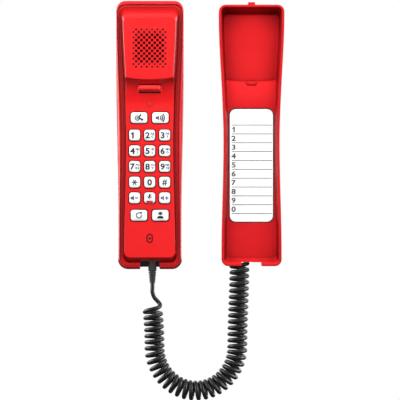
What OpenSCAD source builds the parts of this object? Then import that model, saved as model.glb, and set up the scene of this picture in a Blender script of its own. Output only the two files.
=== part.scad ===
// Slimline wall phone: a shallow wall cradle, a one-piece handset with its own keypad,
// and a curly cord that joins the two. +Z is up, -Y faces the room, the wall is the plane y = 0,
// and the origin is midway between the two wall screws. Millimetres.

/* [Cradle] */
// Height of the cradle
base_h = 206.6; // [190:0.2:225]
// Width across the top of the cradle
base_top_w = 51.8; // [50:0.2:56]
// Width at the waist
base_waist_w = 44.2; // [42:0.2:48]
// Width across the bottom
base_bottom_w = 47.4; // [46:0.2:52]
// Depth from the wall to the rim
base_depth = 26; // [25:0.5:32]
// Thickness of the rim wall
rim_wall = 2.1; // [1.6:0.1:2.6]
// Outer corner radius
base_corner = 5.4; // [4.5:0.1:7]
// Depth of the earpiece pocket below the rim
pocket_depth = 15; // [13:0.5:16.5]
// Depth of the card floor below the rim
card_floor_depth = 8.5; // [8:0.25:10]
// Thickness of the moulded floor
floor_t = 1.8; // [1.4:0.1:2.2]
// Height of the pocket's lower edge above the origin
pocket_foot_z = 43.5; // [38:0.5:48]
// Length of the ramp between pocket and card floor
ramp_len = 19.5; // [14:0.5:22]
// How much lower the pocket's edge is at its middle
smile = 1.5; // [0:0.1:2.5]
// Width of the cord notch in the bottom wall
notch_w = 16; // [13:0.5:18]
// Height of the cord notch
notch_h = 3.2; // [2.8:0.1:4]
// Width of the nub on top
nub_w = 5.6; // [4:0.2:8]
// Height of the nub on top
nub_h = 2.1; // [1:0.1:2.4]

/* [Card] */
// Width of the speed-dial card
card_w = 35; // [30:0.5:36]
// Height of the speed-dial card
card_h = 90.2; // [80:0.2:92]
// Height of the card's centre above the origin
card_z = -23.5; // [-26:0.5:-22]
// Corner radius of the card
card_corner = 5.2; // [3:0.2:7]
// Thickness of the card
card_t = 0.4; // [0.2:0.05:0.6]
// Thickness of the clear window over the card
window_t = 0.6; // [0.4:0.1:0.8]

/* [Wall mount] */
// Distance between the two wall screws
screw_pitch = 83; // [76:0.5:88]
// Diameter of the wall screw holes
screw_hole_d = 4.4; // [3.6:0.1:5]
// Thickness of the wall plate
wall_plate_t = 2; // [1.6:0.1:2.4]
// Clearance around the wall plate
wall_plate_gap = 0.3; // [0.2:0.05:0.5]

/* [Handset] */
// How far the handset reaches above the cradle
top_overhang = 4.4; // [3:0.1:7]
// How far the handset reaches below the cradle
bottom_overhang = 2.8; // [2.4:0.1:6]
// Width across the earpiece end
handset_top_w = 54.6; // [54:0.2:60]
// Width across the mouthpiece end
handset_bottom_w = 51; // [50.4:0.2:56]
// Thickness of the outer shell behind its lip
handset_depth = 18; // [17:0.5:22]
// Sideways distance from cradle to handset
handset_x = 80.6; // [70:0.2:100]
// Gap between the handset's back and the wall
handset_wall_gap = 1; // [0.5:0.5:6]
// Wall thickness of the handset shells
shell_wall = 2; // [1.6:0.1:2.4]
// Rise of the earpiece pad over the lip
pad_rise = 11.5; // [10:0.25:12]
// Rise of the keypad face over the lip
face_rise = 4.5; // [4.25:0.25:5]
// How far the ledge lies below the lip
ledge_drop = 1; // [0.6:0.1:1.4]
// Extra width of the ledge at the waist
waist_ease = 0.9; // [0:0.1:1.4]
// Outer corner radius of the handset
handset_corner = 8; // [7:0.2:10]

/* [Keys] */
// Width of a digit key
key_w = 8.6; // [8.2:0.1:9.2]
// Height of every key
key_h = 8.6; // [8.2:0.1:9.2]
// Width of a function key
wide_key_w = 13; // [12:0.1:13.6]
// Sideways pitch of the digit keys
key_pitch_x = 11.9; // [11.6:0.1:12.2]
// Vertical pitch of the digit keys
key_pitch_z = 12.4; // [12:0.1:12.6]
// Sideways pitch of the function keys
wide_pitch_x = 16.9; // [16:0.1:17.6]
// Height of the first digit row above the origin
first_row_z = 0.2; // [-2:0.2:1]
// Distance of the function rows from the digit rows
wide_step_z = 13.8; // [13:0.1:15]
// Corner radius of a key
key_corner = 2.1; // [1:0.1:3]
// Clearance around a key
key_gap = 0.8; // [0.4:0.05:0.85]
// How far a key stands out of the face
key_proud = 1.3; // [1:0.1:1.6]
// Travel of a key
key_travel = 0.8; // [0.5:0.1:0.9]

/* [Earpiece and microphone] */
// Distance of the grille's centre below the cradle's top
grille_drop = 34.7; // [33:0.1:37]
// Distance between holes in a row of the grille
grille_pitch = 4.2; // [3.8:0.1:4.8]
// Diameter of a grille hole
grille_hole_d = 2.1; // [1.4:0.1:2.2]
// Width and height of the field of through holes
grille_w = 23; // [17:0.5:25]
// Diameter of the earpiece speaker
speaker_d = 30; // [26:0.5:32]
// Height of the mouthpiece hole above the cradle's bottom
mic_rise = 21.9; // [20:0.1:24]
// Diameter of the mouthpiece hole
mic_hole_d = 1.6; // [1.2:0.1:2]

/* [Hook switch] */
// Height of the hook bar above the origin
hook_z = 37; // [35:0.2:38]
// Length of the hook bar
hook_w = 17; // [12:0.2:20]
// Height of the hook bar
hook_h = 5.2; // [4:0.2:6]
// Travel of the hook bar
hook_travel = 2; // [1:0.1:2.4]

/* [Cord] */
// Diameter of the cord
cord_d = 3.3; // [2.8:0.1:3.3]
// Radius of the curls, to the cord's middle
curl_r = 6.5; // [5.8:0.1:6.5]
// Number of curls
curls = 41; // [32:1:42]

/* [Hidden] */

$fn = 48;
cut = 1;                 // how far a cutting tool runs past a face
seat = 0.3;              // clearance where one piece rests on another
red = [0.86, 0.1, 0.1];
deep_red = [0.7, 0.06, 0.06];
white = [0.94, 0.94, 0.93];
black = [0.09, 0.09, 0.1];
grey = [0.3, 0.3, 0.32];
green = [0.1, 0.4, 0.22];
steel = [0.7, 0.71, 0.73];
clear = [0.85, 0.9, 0.92];

// ---- plan outlines -------------------------------------------------------------------------

function ease(t) = let (c = max(0, min(1, t))) c * c * (3 - 2 * c);
function mix(a, b, t) = a + (b - a) * t;

waist_z = -5;            // height of the narrowest place
waist_run = base_h / 2 - base_corner;
base_top = base_h / 2;
base_bottom = -base_h / 2;
handset_top = base_top + top_overhang;
handset_bottom = bottom_overhang - base_bottom;
grille_z = base_top - grille_drop;
mic_z = base_bottom + mic_rise;
first_row = 15;          // how far the first middle row lies below the top edge

// Half width of the cradle, and of everything that follows its waist, at height z
function waisted(z, top, waist, bottom) =
  z > waist_z
    ? mix(waist, top, ease((z - waist_z) / (waist_run - waist_z)))
    : mix(waist, bottom, ease((waist_z - z) / (waist_z + waist_run - 4)));
function base_half(z) = waisted(z, base_top_w / 2, base_waist_w / 2, base_bottom_w / 2);

// Half width of the handset's outside: straight at both ends, easing over from one to the other
taper_z = -75;           // where the handset starts to widen
taper_l = 130;
function handset_half(z) =
  mix(handset_bottom_w, handset_top_w, ease((z - taper_z) / taper_l)) / 2;

// Half width of the ledge in the handset that takes the cradle's rim
ledge_gap = 0.3;
function ledge_half(z) =
  ledge_gap + waisted(z, base_top_w / 2, base_waist_w / 2 + waist_ease, base_bottom_w / 2);

// Half width of the raised block inside the ledge, which goes into the cradle
block_gap = 0.4;
function block_half(z) = base_half(z) - rim_wall - block_gap;

// ---- lofts over rows -------------------------------------------------------------------------
// A row is [half width, height, bow, depth]: the rows of an outline run from its top edge to its
// bottom edge, round both corners. The bow lifts a row's ends, and the depth is what the level
// function turns into a place along Y.

corner_steps = 4;
function rows(half, top, bottom, r, mids) = concat(
  [for (i = [0:corner_steps])
    let (a = 90 * i / corner_steps)
    [half(top - r) - r + r * sin(a), top - r + r * cos(a), 0, mids[0][2]]],
  [for (m = mids) [half(m[0]), m[0], m[1], m[2]]],
  [for (i = [0:corner_steps])
    let (a = 90 * i / corner_steps)
    [half(bottom + r) - r + r * cos(a), bottom + r - r * sin(a), 0, mids[len(mids) - 1][2]]]
);

function on_row(row, u, level) = [u * row[0], level(row[3], row[1]), row[1] + row[2] * u * u];

function ring(list, level, columns) =
  let (last = len(list) - 1)
  concat(
    [for (j = [0:columns]) on_row(list[0], 2 * j / columns - 1, level)],
    [for (i = [1:last - 1]) on_row(list[i], 1, level)],
    [for (j = [0:columns]) on_row(list[last], 1 - 2 * j / columns, level)],
    [for (i = [last - 1:-1:1]) on_row(list[i], -1, level)]
  );

function inside_points(list, level, columns) = [
  for (i = [1:len(list) - 2])
    for (j = [1:1:columns - 1])
      on_row(list[i], 2 * j / columns - 1, level)
];

function row_index(i, j, count, columns, ring_start, inside_start) =
  i == 0 ? ring_start + j :
  i == count - 1 ? ring_start + 2 * columns + count - 1 - j :
  j == columns ? ring_start + columns + i :
  j == 0 ? ring_start + 2 * columns + 2 * count - 2 - i :
  inside_start + (i - 1) * (columns - 1) + j - 1;

function lid_faces(count, columns, ring_start, inside_start, flip) = [
  for (i = [0:count - 2])
    for (j = [0:columns - 1])
      for (half = [0, 1])
        let (a = row_index(i, j, count, columns, ring_start, inside_start))
        let (b = row_index(i, j + 1, count, columns, ring_start, inside_start))
        let (c = row_index(i + 1, j + 1, count, columns, ring_start, inside_start))
        let (d = row_index(i + 1, j, count, columns, ring_start, inside_start))
        let (face = half == 0 ? [a, b, c] : [a, c, d])
        flip ? [face[2], face[1], face[0]] : face
];

function wall_faces(ring_count, size) = [
  for (k = [0:ring_count - 2])
    for (n = [0:size - 1])
      for (half = [0, 1])
        let (a = k * size + n)
        let (b = k * size + (n + 1) % size)
        half == 0 ? [b, a, a + size] : [b, a + size, b + size]
];

// stages: [rows, level] pairs from one lid to the other, the first lid facing the room
// or, from_back, the wall
module loft(stages, columns, from_back = false) {
  count = len(stages[0][0]);
  size = 2 * (columns + 1) + 2 * (count - 2);
  last = len(stages) - 1;
  inside = (count - 2) * max(0, columns - 1);
  start = size * (last + 1);
  points = concat(
    [for (s = stages) each ring(s[0], s[1], columns)],
    inside_points(stages[0][0], stages[0][1], columns),
    inside_points(stages[last][0], stages[last][1], columns)
  );
  faces = concat(
    lid_faces(count, columns, 0, start, false),
    wall_faces(last + 1, size),
    lid_faces(count, columns, size * last, start + inside, true)
  );
  polyhedron(points, from_back ? [for (f = faces) [f[2], f[1], f[0]]] : faces, convexity = 8);
}

// ---- small helpers ---------------------------------------------------------------------------

// Extrude a shape drawn in X and Z from y0 (front) to y1 (back)
module slab(y0, y1) {
  translate([0, y1, 0])
    rotate([90, 0, 0])
      linear_extrude(y1 - y0)
        children();
}

// Rounded rectangle about its centre
module rounded(w, h, r) {
  square([w - 2 * r, h], center = true);
  square([w, h - 2 * r], center = true);
  for (x = [-1, 1])
    for (y = [-1, 1])
      translate([x * (w / 2 - r), y * (h / 2 - r)])
        circle(r);
}

// Cylinder along Y from y0 to y1
module rod(r, y0, y1) {
  translate([0, y1, 0])
    rotate([90, 0, 0])
      cylinder(r = r, h = y1 - y0);
}

// Cross recess about the Z axis from z0 to z1
module cross_slot(r, z0, z1) {
  block([-r, r], [-0.3, 0.3], [z0, z1]);
  block([-0.3, 0.3], [-r, r], [z0, z1]);
}

module block(x, y, z) {
  translate([x[0], y[0], z[0]])
    cube([x[1] - x[0], y[1] - y[0], z[1] - z[0]]);
}

// ---- cradle ----------------------------------------------------------------------------------

ramp_steps = 5;
rim_y = -base_depth;
ramp_drop = pocket_depth - card_floor_depth;
card_floor_y = rim_y + card_floor_depth;
back_floor_y = card_floor_y + floor_t;
pocket_first_z = base_top - first_row;
card_last_rise = 13;     // from the cradle's bottom to the last row of its floor
card_last_z = base_bottom + card_last_rise;

// Middle rows of the cradle's floor: the pocket, the ramp and the card floor
floor_mids = concat(
  [for (t = [0, 0.5])
    let (z = mix(pocket_first_z, pocket_foot_z, t))
    [z, smile * t, pocket_depth]],
  [for (i = [0:ramp_steps])
    let (a = 90 * i / ramp_steps)
    [pocket_foot_z - ramp_len * (1 - cos(a)), smile * cos(a), pocket_depth - ramp_drop * sin(a)]],
  [for (i = [1:9])
    [mix(pocket_foot_z - ramp_len, card_last_z, i / 9), 0, card_floor_depth]]
);

rim_round = 0.5;
side_slope = 2.8;        // how far the walls lean in at the floor
top_slope = 5.6;
bottom_slope = 4.2;

function base_rows(side, top, bottom, r) = rows(
  function (z) base_half(z) - side, base_top - top, base_bottom + bottom, r, floor_mids
);

module base_body() {
  leaning = function (lean) base_rows(
    rim_wall + side_slope * lean,
    rim_wall + top_slope * lean,
    rim_wall + bottom_slope * lean,
    base_corner - rim_wall
  );
  loft([
    [leaning(1), function (d, z) rim_y + d],
    [leaning(0.6), function (d, z) rim_y + 0.9 * d],
    [leaning(0.08), function (d, z) rim_y + rim_round],
    [leaning(0), function (d, z) rim_y],
    [base_rows(rim_round, rim_round, rim_round, base_corner), function (d, z) rim_y],
    [base_rows(0, 0, 0, base_corner), function (d, z) rim_y + rim_round],
    [base_rows(0, 0, 0, base_corner), function (d, z) 0],
    [base_rows(rim_wall, rim_wall, rim_wall, base_corner - rim_wall), function (d, z) 0],
    [base_rows(rim_wall, rim_wall, rim_wall, base_corner - rim_wall),
      function (d, z) rim_y + d + floor_t]
  ], 4);
}

// The line board lies left of the middle, clear of the wall at the waist
board_inset = 12.3;
board_x = board_inset - base_waist_w / 2;

// The deep recess at the bottom of the back, where the curly cord comes in
entry_reach = [9.7, 10.3];
entry_x = [board_x - entry_reach[0], board_x + entry_reach[1]];
entry_y = -17.6;
entry_top = base_bottom + 3.9;

// Bosses that carry the line board, and the one that the lock screw pulls on
board_w = 20;
board_rise = 29.3;       // from the cradle's bottom to the line board
board_l = 48;
board_z = [base_bottom + board_rise, base_bottom + board_rise + board_l];
board_t = 1.6;
board_y = -5.2;          // front face of the line board
board_hole_x = 7.4;
board_hole_edge = 3;
board_posts = [
  [board_x + board_hole_x, board_z[0] + board_hole_edge],
  [board_x - board_hole_x, board_z[1] - board_hole_edge]
];
post_r = 2.4;
pilot_r = 0.9;
pan_head_r = 2;
pan_head_t = 1.2;
pan_slot_r = 1.3;
pan_thread = 4;          // how deep a board's screw goes into its post

module at_board_posts() {
  for (p = board_posts)
    translate([p[0], 0, p[1]])
      children();
}

// The lock screw comes up through a sunk hole in the bottom wall
lock_x = 14;
lock_y = -5.8;
lock_r = 1.2;
lock_head_r = 2.6;
lock_head_t = 1.6;
lock_sink = 2.2;
lock_boss = 4.6;

hook_slot_z = base_top - 10;
tab_rise = 4.6;

module base_shell() {
  color(red)
    difference() {
      union() {
        base_body();
        // nub on top
        block([-nub_w / 2, nub_w / 2], [rim_y + 1.2, rim_y + 6], [base_top - 1, base_top + nub_h]);
        // tab that the handset's shoulder hangs on
        block([-3.75, 3.75], [rim_y + pocket_depth - tab_rise, rim_y + pocket_depth + 1],
          [pocket_foot_z - 3, pocket_foot_z - 0.2]);
        // posts for the line board
        at_board_posts()
          rod(post_r, back_floor_y - 0.6, board_y);
        // boss round the lock screw
        block([lock_x - 4.5, lock_x + 4.5], [lock_y - 4, -wall_plate_t - 0.3],
          [base_bottom + 0.5, base_bottom + lock_boss]);
        // ribs that the wall plate hooks under
        for (side = [-1, 1])
          block([side * 13 - 4, side * 13 + 4], [-wall_plate_t - 3.2, -wall_plate_t - 1.4],
            [hook_slot_z + 3.2, base_top - 1]);
      }
      // cord notch through the bottom wall and floor, open to the front
      block([-notch_w / 2, notch_w / 2], [rim_y - cut, 0 + cut],
        [base_bottom - cut, base_bottom + notch_h]);
      // cord entry behind the front wall
      block(entry_x, [entry_y, cut], [base_bottom - cut, entry_top]);
      // recess for the card and its window
      translate([0, 0, card_z])
        slab(card_floor_y - cut, card_floor_y + card_t + window_t)
          rounded(card_w + 0.4, card_h + 0.4, card_corner + 0.2);
      // pilot holes
      at_board_posts()
        rod(pilot_r, board_y - 5, board_y + cut);
      // sunk hole of the lock screw
      translate([lock_x, lock_y, base_bottom - cut]) {
        cylinder(r = lock_head_r + 0.2, h = lock_sink + cut);
        cylinder(r = lock_r + 0.2, h = lock_boss + 2 * cut);
      }
    }
}

// Outline of an outline function as a flat shape in X and Z
module plan(list) {
  polygon([for (p = ring(list, function (d, z) 0, 1)) [p[0], p[2]]]);
}

plate_inset = rim_wall + wall_plate_gap;
lug_z = base_bottom + lock_boss + seat;
plate_opening = [24, 16];
plate_opening_z = -2;

module wall_plate() {
  color(black)
    difference() {
      union() {
        slab(-wall_plate_t, 0)
          plan(base_rows(plate_inset, plate_inset, plate_inset, base_corner - rim_wall));
        // upright hooks that go under the cradle's ribs
        for (side = [-1, 1]) {
          block([side * 13 - 3, side * 13 + 3], [-wall_plate_t - 4.8, -wall_plate_t + 0.5],
            [hook_slot_z - 2, hook_slot_z]);
          block([side * 13 - 3, side * 13 + 3], [-wall_plate_t - 4.8, -wall_plate_t - 3.5],
            [hook_slot_z - 2, hook_slot_z + 5]);
        }
        // lug for the lock screw
        block([lock_x - 4.2, lock_x + 4.2], [lock_y - 3.8, -wall_plate_t + 0.5],
          [lug_z, lug_z + 5]);
        // raised rings round the wall screw holes
        for (side = [-1, 1])
          translate([0, 0, side * screw_pitch / 2])
            rod(5.5, -wall_plate_t - 0.8, -wall_plate_t + 0.5);
      }
      for (side = [-1, 1])
        translate([0, 0, side * screw_pitch / 2])
          rod(screw_hole_d / 2, -wall_plate_t - 2, cut);
      translate([0, 0, plate_opening_z])
        slab(-wall_plate_t - cut, cut)
          rounded(plate_opening[0], plate_opening[1], 3);
      block(entry_x, [-wall_plate_t - cut, cut], [base_bottom - cut, entry_top + 1.5]);
      // room for the boss of the lock screw, and the lug's thread
      block([lock_x - 4.8, lock_x + 4.8], [-wall_plate_t - cut, -wall_plate_t + 0.7],
        [base_bottom, base_bottom + lock_boss + 0.3]);
      translate([lock_x, lock_y, lug_z - cut])
        cylinder(r = lock_r, h = 5 + 2 * cut);
    }
}

module lock_screw() {
  color(steel)
    translate([lock_x, lock_y, base_bottom + lock_sink])
      difference() {
        union() {
          translate([0, 0, -lock_head_t])
            cylinder(r = lock_head_r, h = lock_head_t);
          cylinder(r = lock_r, h = lock_boss + 1.5);
        }
        cross_slot(lock_head_r - 1, -lock_head_t - cut, -lock_head_t + 0.7);
      }
}

module dial_card() {
  color(white)
    translate([0, 0, card_z])
      slab(card_floor_y + window_t, card_floor_y + window_t + card_t)
        rounded(card_w, card_h, card_corner);
}

module card_window() {
  color(clear, 0.4)
    translate([0, 0, card_z])
      slab(card_floor_y, card_floor_y + window_t)
        rounded(card_w, card_h, card_corner);
}

jack_w = 11.4;
jack_l = 14;
jack_h = 9;
plug_w = 7.7;
plug_h = 6.6;
plug_l = 11.5;
contact_l = 4;
contact_pitch = 1.27;
plug_gap = 0.25;

// Modular jack: mouth towards -Z at z = 0, standing on the plane y = 0 and rising to -Y
module jack() {
  difference() {
    block([-jack_w / 2, jack_w / 2], [-jack_h, 0], [0, jack_l]);
    block([-plug_w / 2 - plug_gap, plug_w / 2 + plug_gap],
      [-jack_h / 2 - plug_h / 2 - plug_gap, -jack_h / 2 + plug_h / 2 + plug_gap],
      [-cut, jack_l - 2]);
    // keyway for the plug's latch
    block([-1.9, 1.9], [-jack_h + 0.6, -jack_h / 2], [-cut, jack_l - 5]);
  }
}

// Modular plug: cord end at z = 0, nose up, centred on y = 0
module plug() {
  difference() {
    block([-plug_w / 2, plug_w / 2], [-plug_h / 2, plug_h / 2], [0, plug_l]);
    for (i = [-1.5:1:1.5])
      block([i * contact_pitch - 0.3, i * contact_pitch + 0.3],
        [plug_h / 2 - 0.8, plug_h / 2 + cut], [plug_l - contact_l, plug_l + cut]);
  }
  // latch
  block([-1.5, 1.5], [-plug_h / 2 - 0.5, -plug_h / 2 + 0.1], [3, plug_l - 1.5]);
}

module line_board() {
  color(green)
    difference() {
      translate([board_x, 0, (board_z[0] + board_z[1]) / 2])
        slab(board_y, board_y + board_t)
          rounded(board_w, board_z[1] - board_z[0], 1);
      at_board_posts()
        rod(pilot_r + 0.3, board_y - cut, board_y + board_t + cut);
    }
}

module line_board_screws() {
  color(steel)
    at_board_posts()
      translate([0, board_y + board_t, 0])
        rotate([90, 0, 0])
          difference() {
            union() {
              translate([0, 0, -pan_head_t])
                cylinder(r = pan_head_r, h = pan_head_t);
              cylinder(r = pilot_r, h = board_t + pan_thread);
            }
            cross_slot(pan_slot_r, -pan_head_t - cut, -pan_head_t / 2);
          }
}

socket_z = board_z[0] + 6;
line_socket_z = board_z[1] - 6;

module cord_socket() {
  color(black)
    translate([board_x, board_y, socket_z])
      jack();
}

module line_socket() {
  color(white)
    translate([board_x, board_y, line_socket_z])
      rotate([0, 180, 0])
        jack();
}

plug_y = board_y - jack_h / 2;
plug_in = plug_l - 1.5;

module base_plug() {
  color(clear, 0.6)
    translate([board_x, plug_y, socket_z - plug_l + plug_in])
      plug();
}

// ---- handset ---------------------------------------------------------------------------------

lip_y = -handset_wall_gap - handset_depth;
ledge_y = ledge_drop;                    // handset heights are measured back from the lip
flange_t = 1.8;
groove_w = 1;
groove_d = 0.9;
bulge_y = 7;                             // where the outer shell is widest
back_round = 9;                          // how far the back's edges curve in
back_bow = 2.6;                          // how much the back curves towards its ends
ledge_top = handset_top - 1.9;
ledge_bottom = base_bottom - ledge_gap;
ledge_corner = 6.2;
block_top = base_top - rim_wall - 0.4;
block_bottom = base_bottom + rim_wall + 0.4;
block_corner = 5;
lip_w = 0.5;
slip = 0.15;                             // clearance between the two handset shells

module place_handset() {
  translate([-handset_x, lip_y, 0])
    children();
}

function bow(z) = back_bow * pow(z / handset_top, 2);

back_mids = [for (i = [0:11]) [mix(handset_top - 11, 11 - handset_bottom, i / 11), 0, 0]];

function shell_rows(inset) = rows(
  function (z) handset_half(z) - inset,
  handset_top - inset, inset - handset_bottom, max(2.5, handset_corner - 0.4 * inset), back_mids
);

// Rows that follow the ledge, grown outwards by grow
function ledge_rows(grow) = rows(
  function (z) ledge_half(z) + grow,
  ledge_top + grow, ledge_bottom - grow, ledge_corner + max(0, grow), back_mids
);

// Rows part of the way from one outline to another
function blend_rows(a, b, t) = [for (i = [0:len(a) - 1]) mix(a[i], b[i], t)];

module handset_shell_body() {
  lip_out = ledge_rows(slip + lip_w);
  outside = shell_rows(0);
  inner_depth = handset_depth - shell_wall;
  seat_y = ledge_y + flange_t;
  loft(concat(
    // back and its rounded edge
    [for (a = [90, 67.5, 45, 22.5, 0])
      [shell_rows(back_round * (1 - cos(a))),
        function (d, z) bulge_y + (handset_depth - bulge_y - bow(z)) * sin(a)]],
    // from the widest line forward to the lip
    [for (a = [60, 30, 0])
      [blend_rows(lip_out, outside, sin(a)), function (d, z) bulge_y * (1 - cos(a))]],
    // lip, seat of the front shell and the inside
    [
      [ledge_rows(slip), function (d, z) 0],
      [ledge_rows(slip), function (d, z) seat_y],
      [ledge_rows(-1.2), function (d, z) seat_y],
      [ledge_rows(-1.4), function (d, z) bulge_y],
      [ledge_rows(-3), function (d, z) bulge_y + 0.75 * (inner_depth - bulge_y - bow(z))],
      [ledge_rows(-7), function (d, z) inner_depth - bow(z)]
    ]
  ), 1, from_back = true);
}

// Screw posts of the handset
post_x = 14;
post_drop = 21.7;
post_rise = 16.1;
post_z = [handset_top - post_drop, post_rise - handset_bottom];
post_places = [for (z = post_z) for (x = [-post_x, post_x]) [x, z]];
handset_post_r = 2.9;
screw_r = 1.2;
thread_r = 1.2;          // a screw's thread fills its pilot hole
screw_head_r = 2.5;
screw_head_t = 1.6;
head_sink = 4.5;
split_y = 3.5;           // where the posts of the two shells meet

handset_notch_w = 15.4;
cord_x = 1.9;            // the cord leaves the handset a little right of its middle
cord_y = 6.8;
socket_back = 5;
socket_mouth_z = ledge_bottom + 4;

function back_y(z) = handset_depth - bow(z);

module handset_back() {
  color(red)
    place_handset()
      difference() {
        union() {
          handset_shell_body();
          for (p = post_places)
            translate([p[0], 0, p[1]])
              rod(handset_post_r, split_y, back_y(p[1]) - 1);
          // rails that the main board lies on
          for (side = [-1, 1])
            for (z = board_post_rows)
              translate([side * board_post_x, 0, z])
                rod(2.6, board_back_y, handset_depth - shell_wall + 0.4);
        }
        for (p = post_places)
          translate([p[0], 0, p[1]]) {
            rod(screw_r + 0.15, split_y - cut, handset_depth + cut);
            rod(screw_head_r + 0.2, back_y(p[1]) - head_sink, handset_depth + cut);
          }
        for (side = [-1, 1])
          for (z = board_post_rows)
            translate([side * board_post_x, 0, z])
              rod(pilot_r, board_back_y - cut, board_back_y + 6);
        // cord notch through the bottom wall
        block([-handset_notch_w / 2, handset_notch_w / 2], [-cut, cord_y + socket_back + 0.2],
          [-handset_bottom - cut, ledge_bottom + 6]);
      }
}

module handset_screws() {
  color(steel)
    place_handset()
      for (p = post_places)
        let (head_y = back_y(p[1]) - head_sink)
        translate([p[0], 0, p[1]])
          difference() {
            union() {
              rod(screw_head_r, head_y, head_y + screw_head_t);
              rod(screw_r, 0.4, head_y + 0.2);
            }
            translate([0, head_y, 0])
              rotate([-90, 0, 0])
                cross_slot(screw_head_r - 1, screw_head_t - 0.7, screw_head_t + cut);
          }
}

// Middle rows of the raised block: pad, cove and keypad face
pad_foot_z = pocket_foot_z - 0.3;
cove_len = ramp_len + 2.2;
cove_drop = pad_rise - face_rise;
face_mids = concat(
  [for (t = [0, 0.5])
    let (z = mix(block_top - first_row, pad_foot_z, t))
    [z, smile * t, -pad_rise]],
  [for (i = [0:ramp_steps])
    let (a = 90 * i / ramp_steps)
    [pad_foot_z - cove_len * (1 - cos(a)), smile * cos(a), -pad_rise + cove_drop * sin(a)]],
  [for (i = [1:8])
    [mix(pad_foot_z - cove_len, block_bottom + 12, i / 8), 0, -face_rise]]
);

face_edge_wall = 0.7;
pad_side_slope = 2.3;
face_side_slope = 1.2;
block_top_slope = 6.2;
block_bottom_slope = 4.6;
function side_slope_at(z) =
  mix(face_side_slope, pad_side_slope, ease((z - pad_foot_z + cove_len) / cove_len));

// Rows of the raised block, a share t of the way up its sloping sides and drawn in by extra
function sloped_rows(t, extra) = rows(
  function (z) block_half(z) - side_slope_at(z) * t - extra,
  block_top - block_top_slope * t - extra,
  block_bottom + block_bottom_slope * t + extra,
  block_corner - 0.8 * t - 0.5 * extra,
  face_mids
);
function front_ledge_rows(grow) = rows(
  function (z) ledge_half(z) + grow, ledge_top + grow, ledge_bottom - grow,
  ledge_corner, face_mids
);

module front_body() {
  groove_y = ledge_y + groove_d;
  loft([
    [sloped_rows(1, 0), function (d, z) d],
    [sloped_rows(0.68, 0), function (d, z) d + 0.6],
    [sloped_rows(0.25, 0), function (d, z) mix(groove_y, d, 0.5)],
    [sloped_rows(0, 0), function (d, z) groove_y],
    [sloped_rows(0, -groove_w), function (d, z) groove_y],
    [sloped_rows(0, -groove_w), function (d, z) ledge_y],
    [front_ledge_rows(0), function (d, z) ledge_y],
    [front_ledge_rows(0), function (d, z) ledge_y + flange_t],
    [sloped_rows(0, shell_wall), function (d, z) ledge_y + flange_t],
    [sloped_rows(1, face_edge_wall), function (d, z) d + shell_wall]
  ], 4);
}

digit_columns = [-key_pitch_x, 0, key_pitch_x];
wide_columns = [-wide_pitch_x / 2, wide_pitch_x / 2];
last_row_z = first_row_z - 4 * key_pitch_z;
wide_top_z = first_row_z + wide_step_z;
wide_bottom_z = last_row_z - wide_step_z;

// Children at every digit key, and at every function key
module at_digit_keys() {
  for (x = digit_columns)
    for (i = [0:4])
      translate([x, first_row_z - i * key_pitch_z])
        children();
}
module at_wide_keys() {
  for (x = wide_columns)
    for (z = [wide_top_z, wide_bottom_z])
      translate([x, z])
        children();
}

// Staggered grille: rows half a pitch apart, shifted by half a pitch each time, in a square
// field that stays within the speaker
module grille() {
  step = grille_pitch / 2;
  count = ceil(grille_w / 2 / step);
  for (k = [-count:count])
    for (i = [-count:count])
      let (x = (i + (abs(k) % 2) / 2) * grille_pitch)
      if (max(abs(x), abs(k * step)) < grille_w / 2
          && norm([x, k * step]) + grille_hole_d / 2 < speaker_d / 2 - 0.5)
        translate([x, k * step])
          circle(d = grille_hole_d);
}

hook_gap = 1;
hook_gap_x = 1.4;
mute_x = 0;
mute_z = last_row_z - key_h / 2 + 0.9;
mute_w = 4.4;
mute_h = 2;
lens_z = 25;             // middle of the ring light's lens
lens_r = 2.4;
guide_wall = 1.2;
guide_end_y = -3.2;
mouth_r = 2.6;
mouth_rise = 1.25;
mouth_groove = 1.1;
mouth_depth = 0.9;

module mouth_oval(r) {
  for (z = [-mouth_rise, mouth_rise])
    translate([0, z])
      circle(r);
  square([2 * r, 2 * mouth_rise], center = true);
}

module hook_slot(wall) {
  rounded(hook_w + 2 * hook_gap_x + 2 * wall, hook_h + 2 * hook_gap + 2 * wall, 2.6 + wall);
}

// Wall round the hook bar's slot, from within the sloping face back to the bar's ears
module hook_guide() {
  intersection() {
    loft([
      [sloped_rows(1, 0), function (d, z) d + 0.6],
      [sloped_rows(1, 0), function (d, z) 0]
    ], 4);
    translate([0, 0, hook_z])
      slab(-pad_rise, guide_end_y)
        hook_slot(guide_wall);
  }
}

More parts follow.
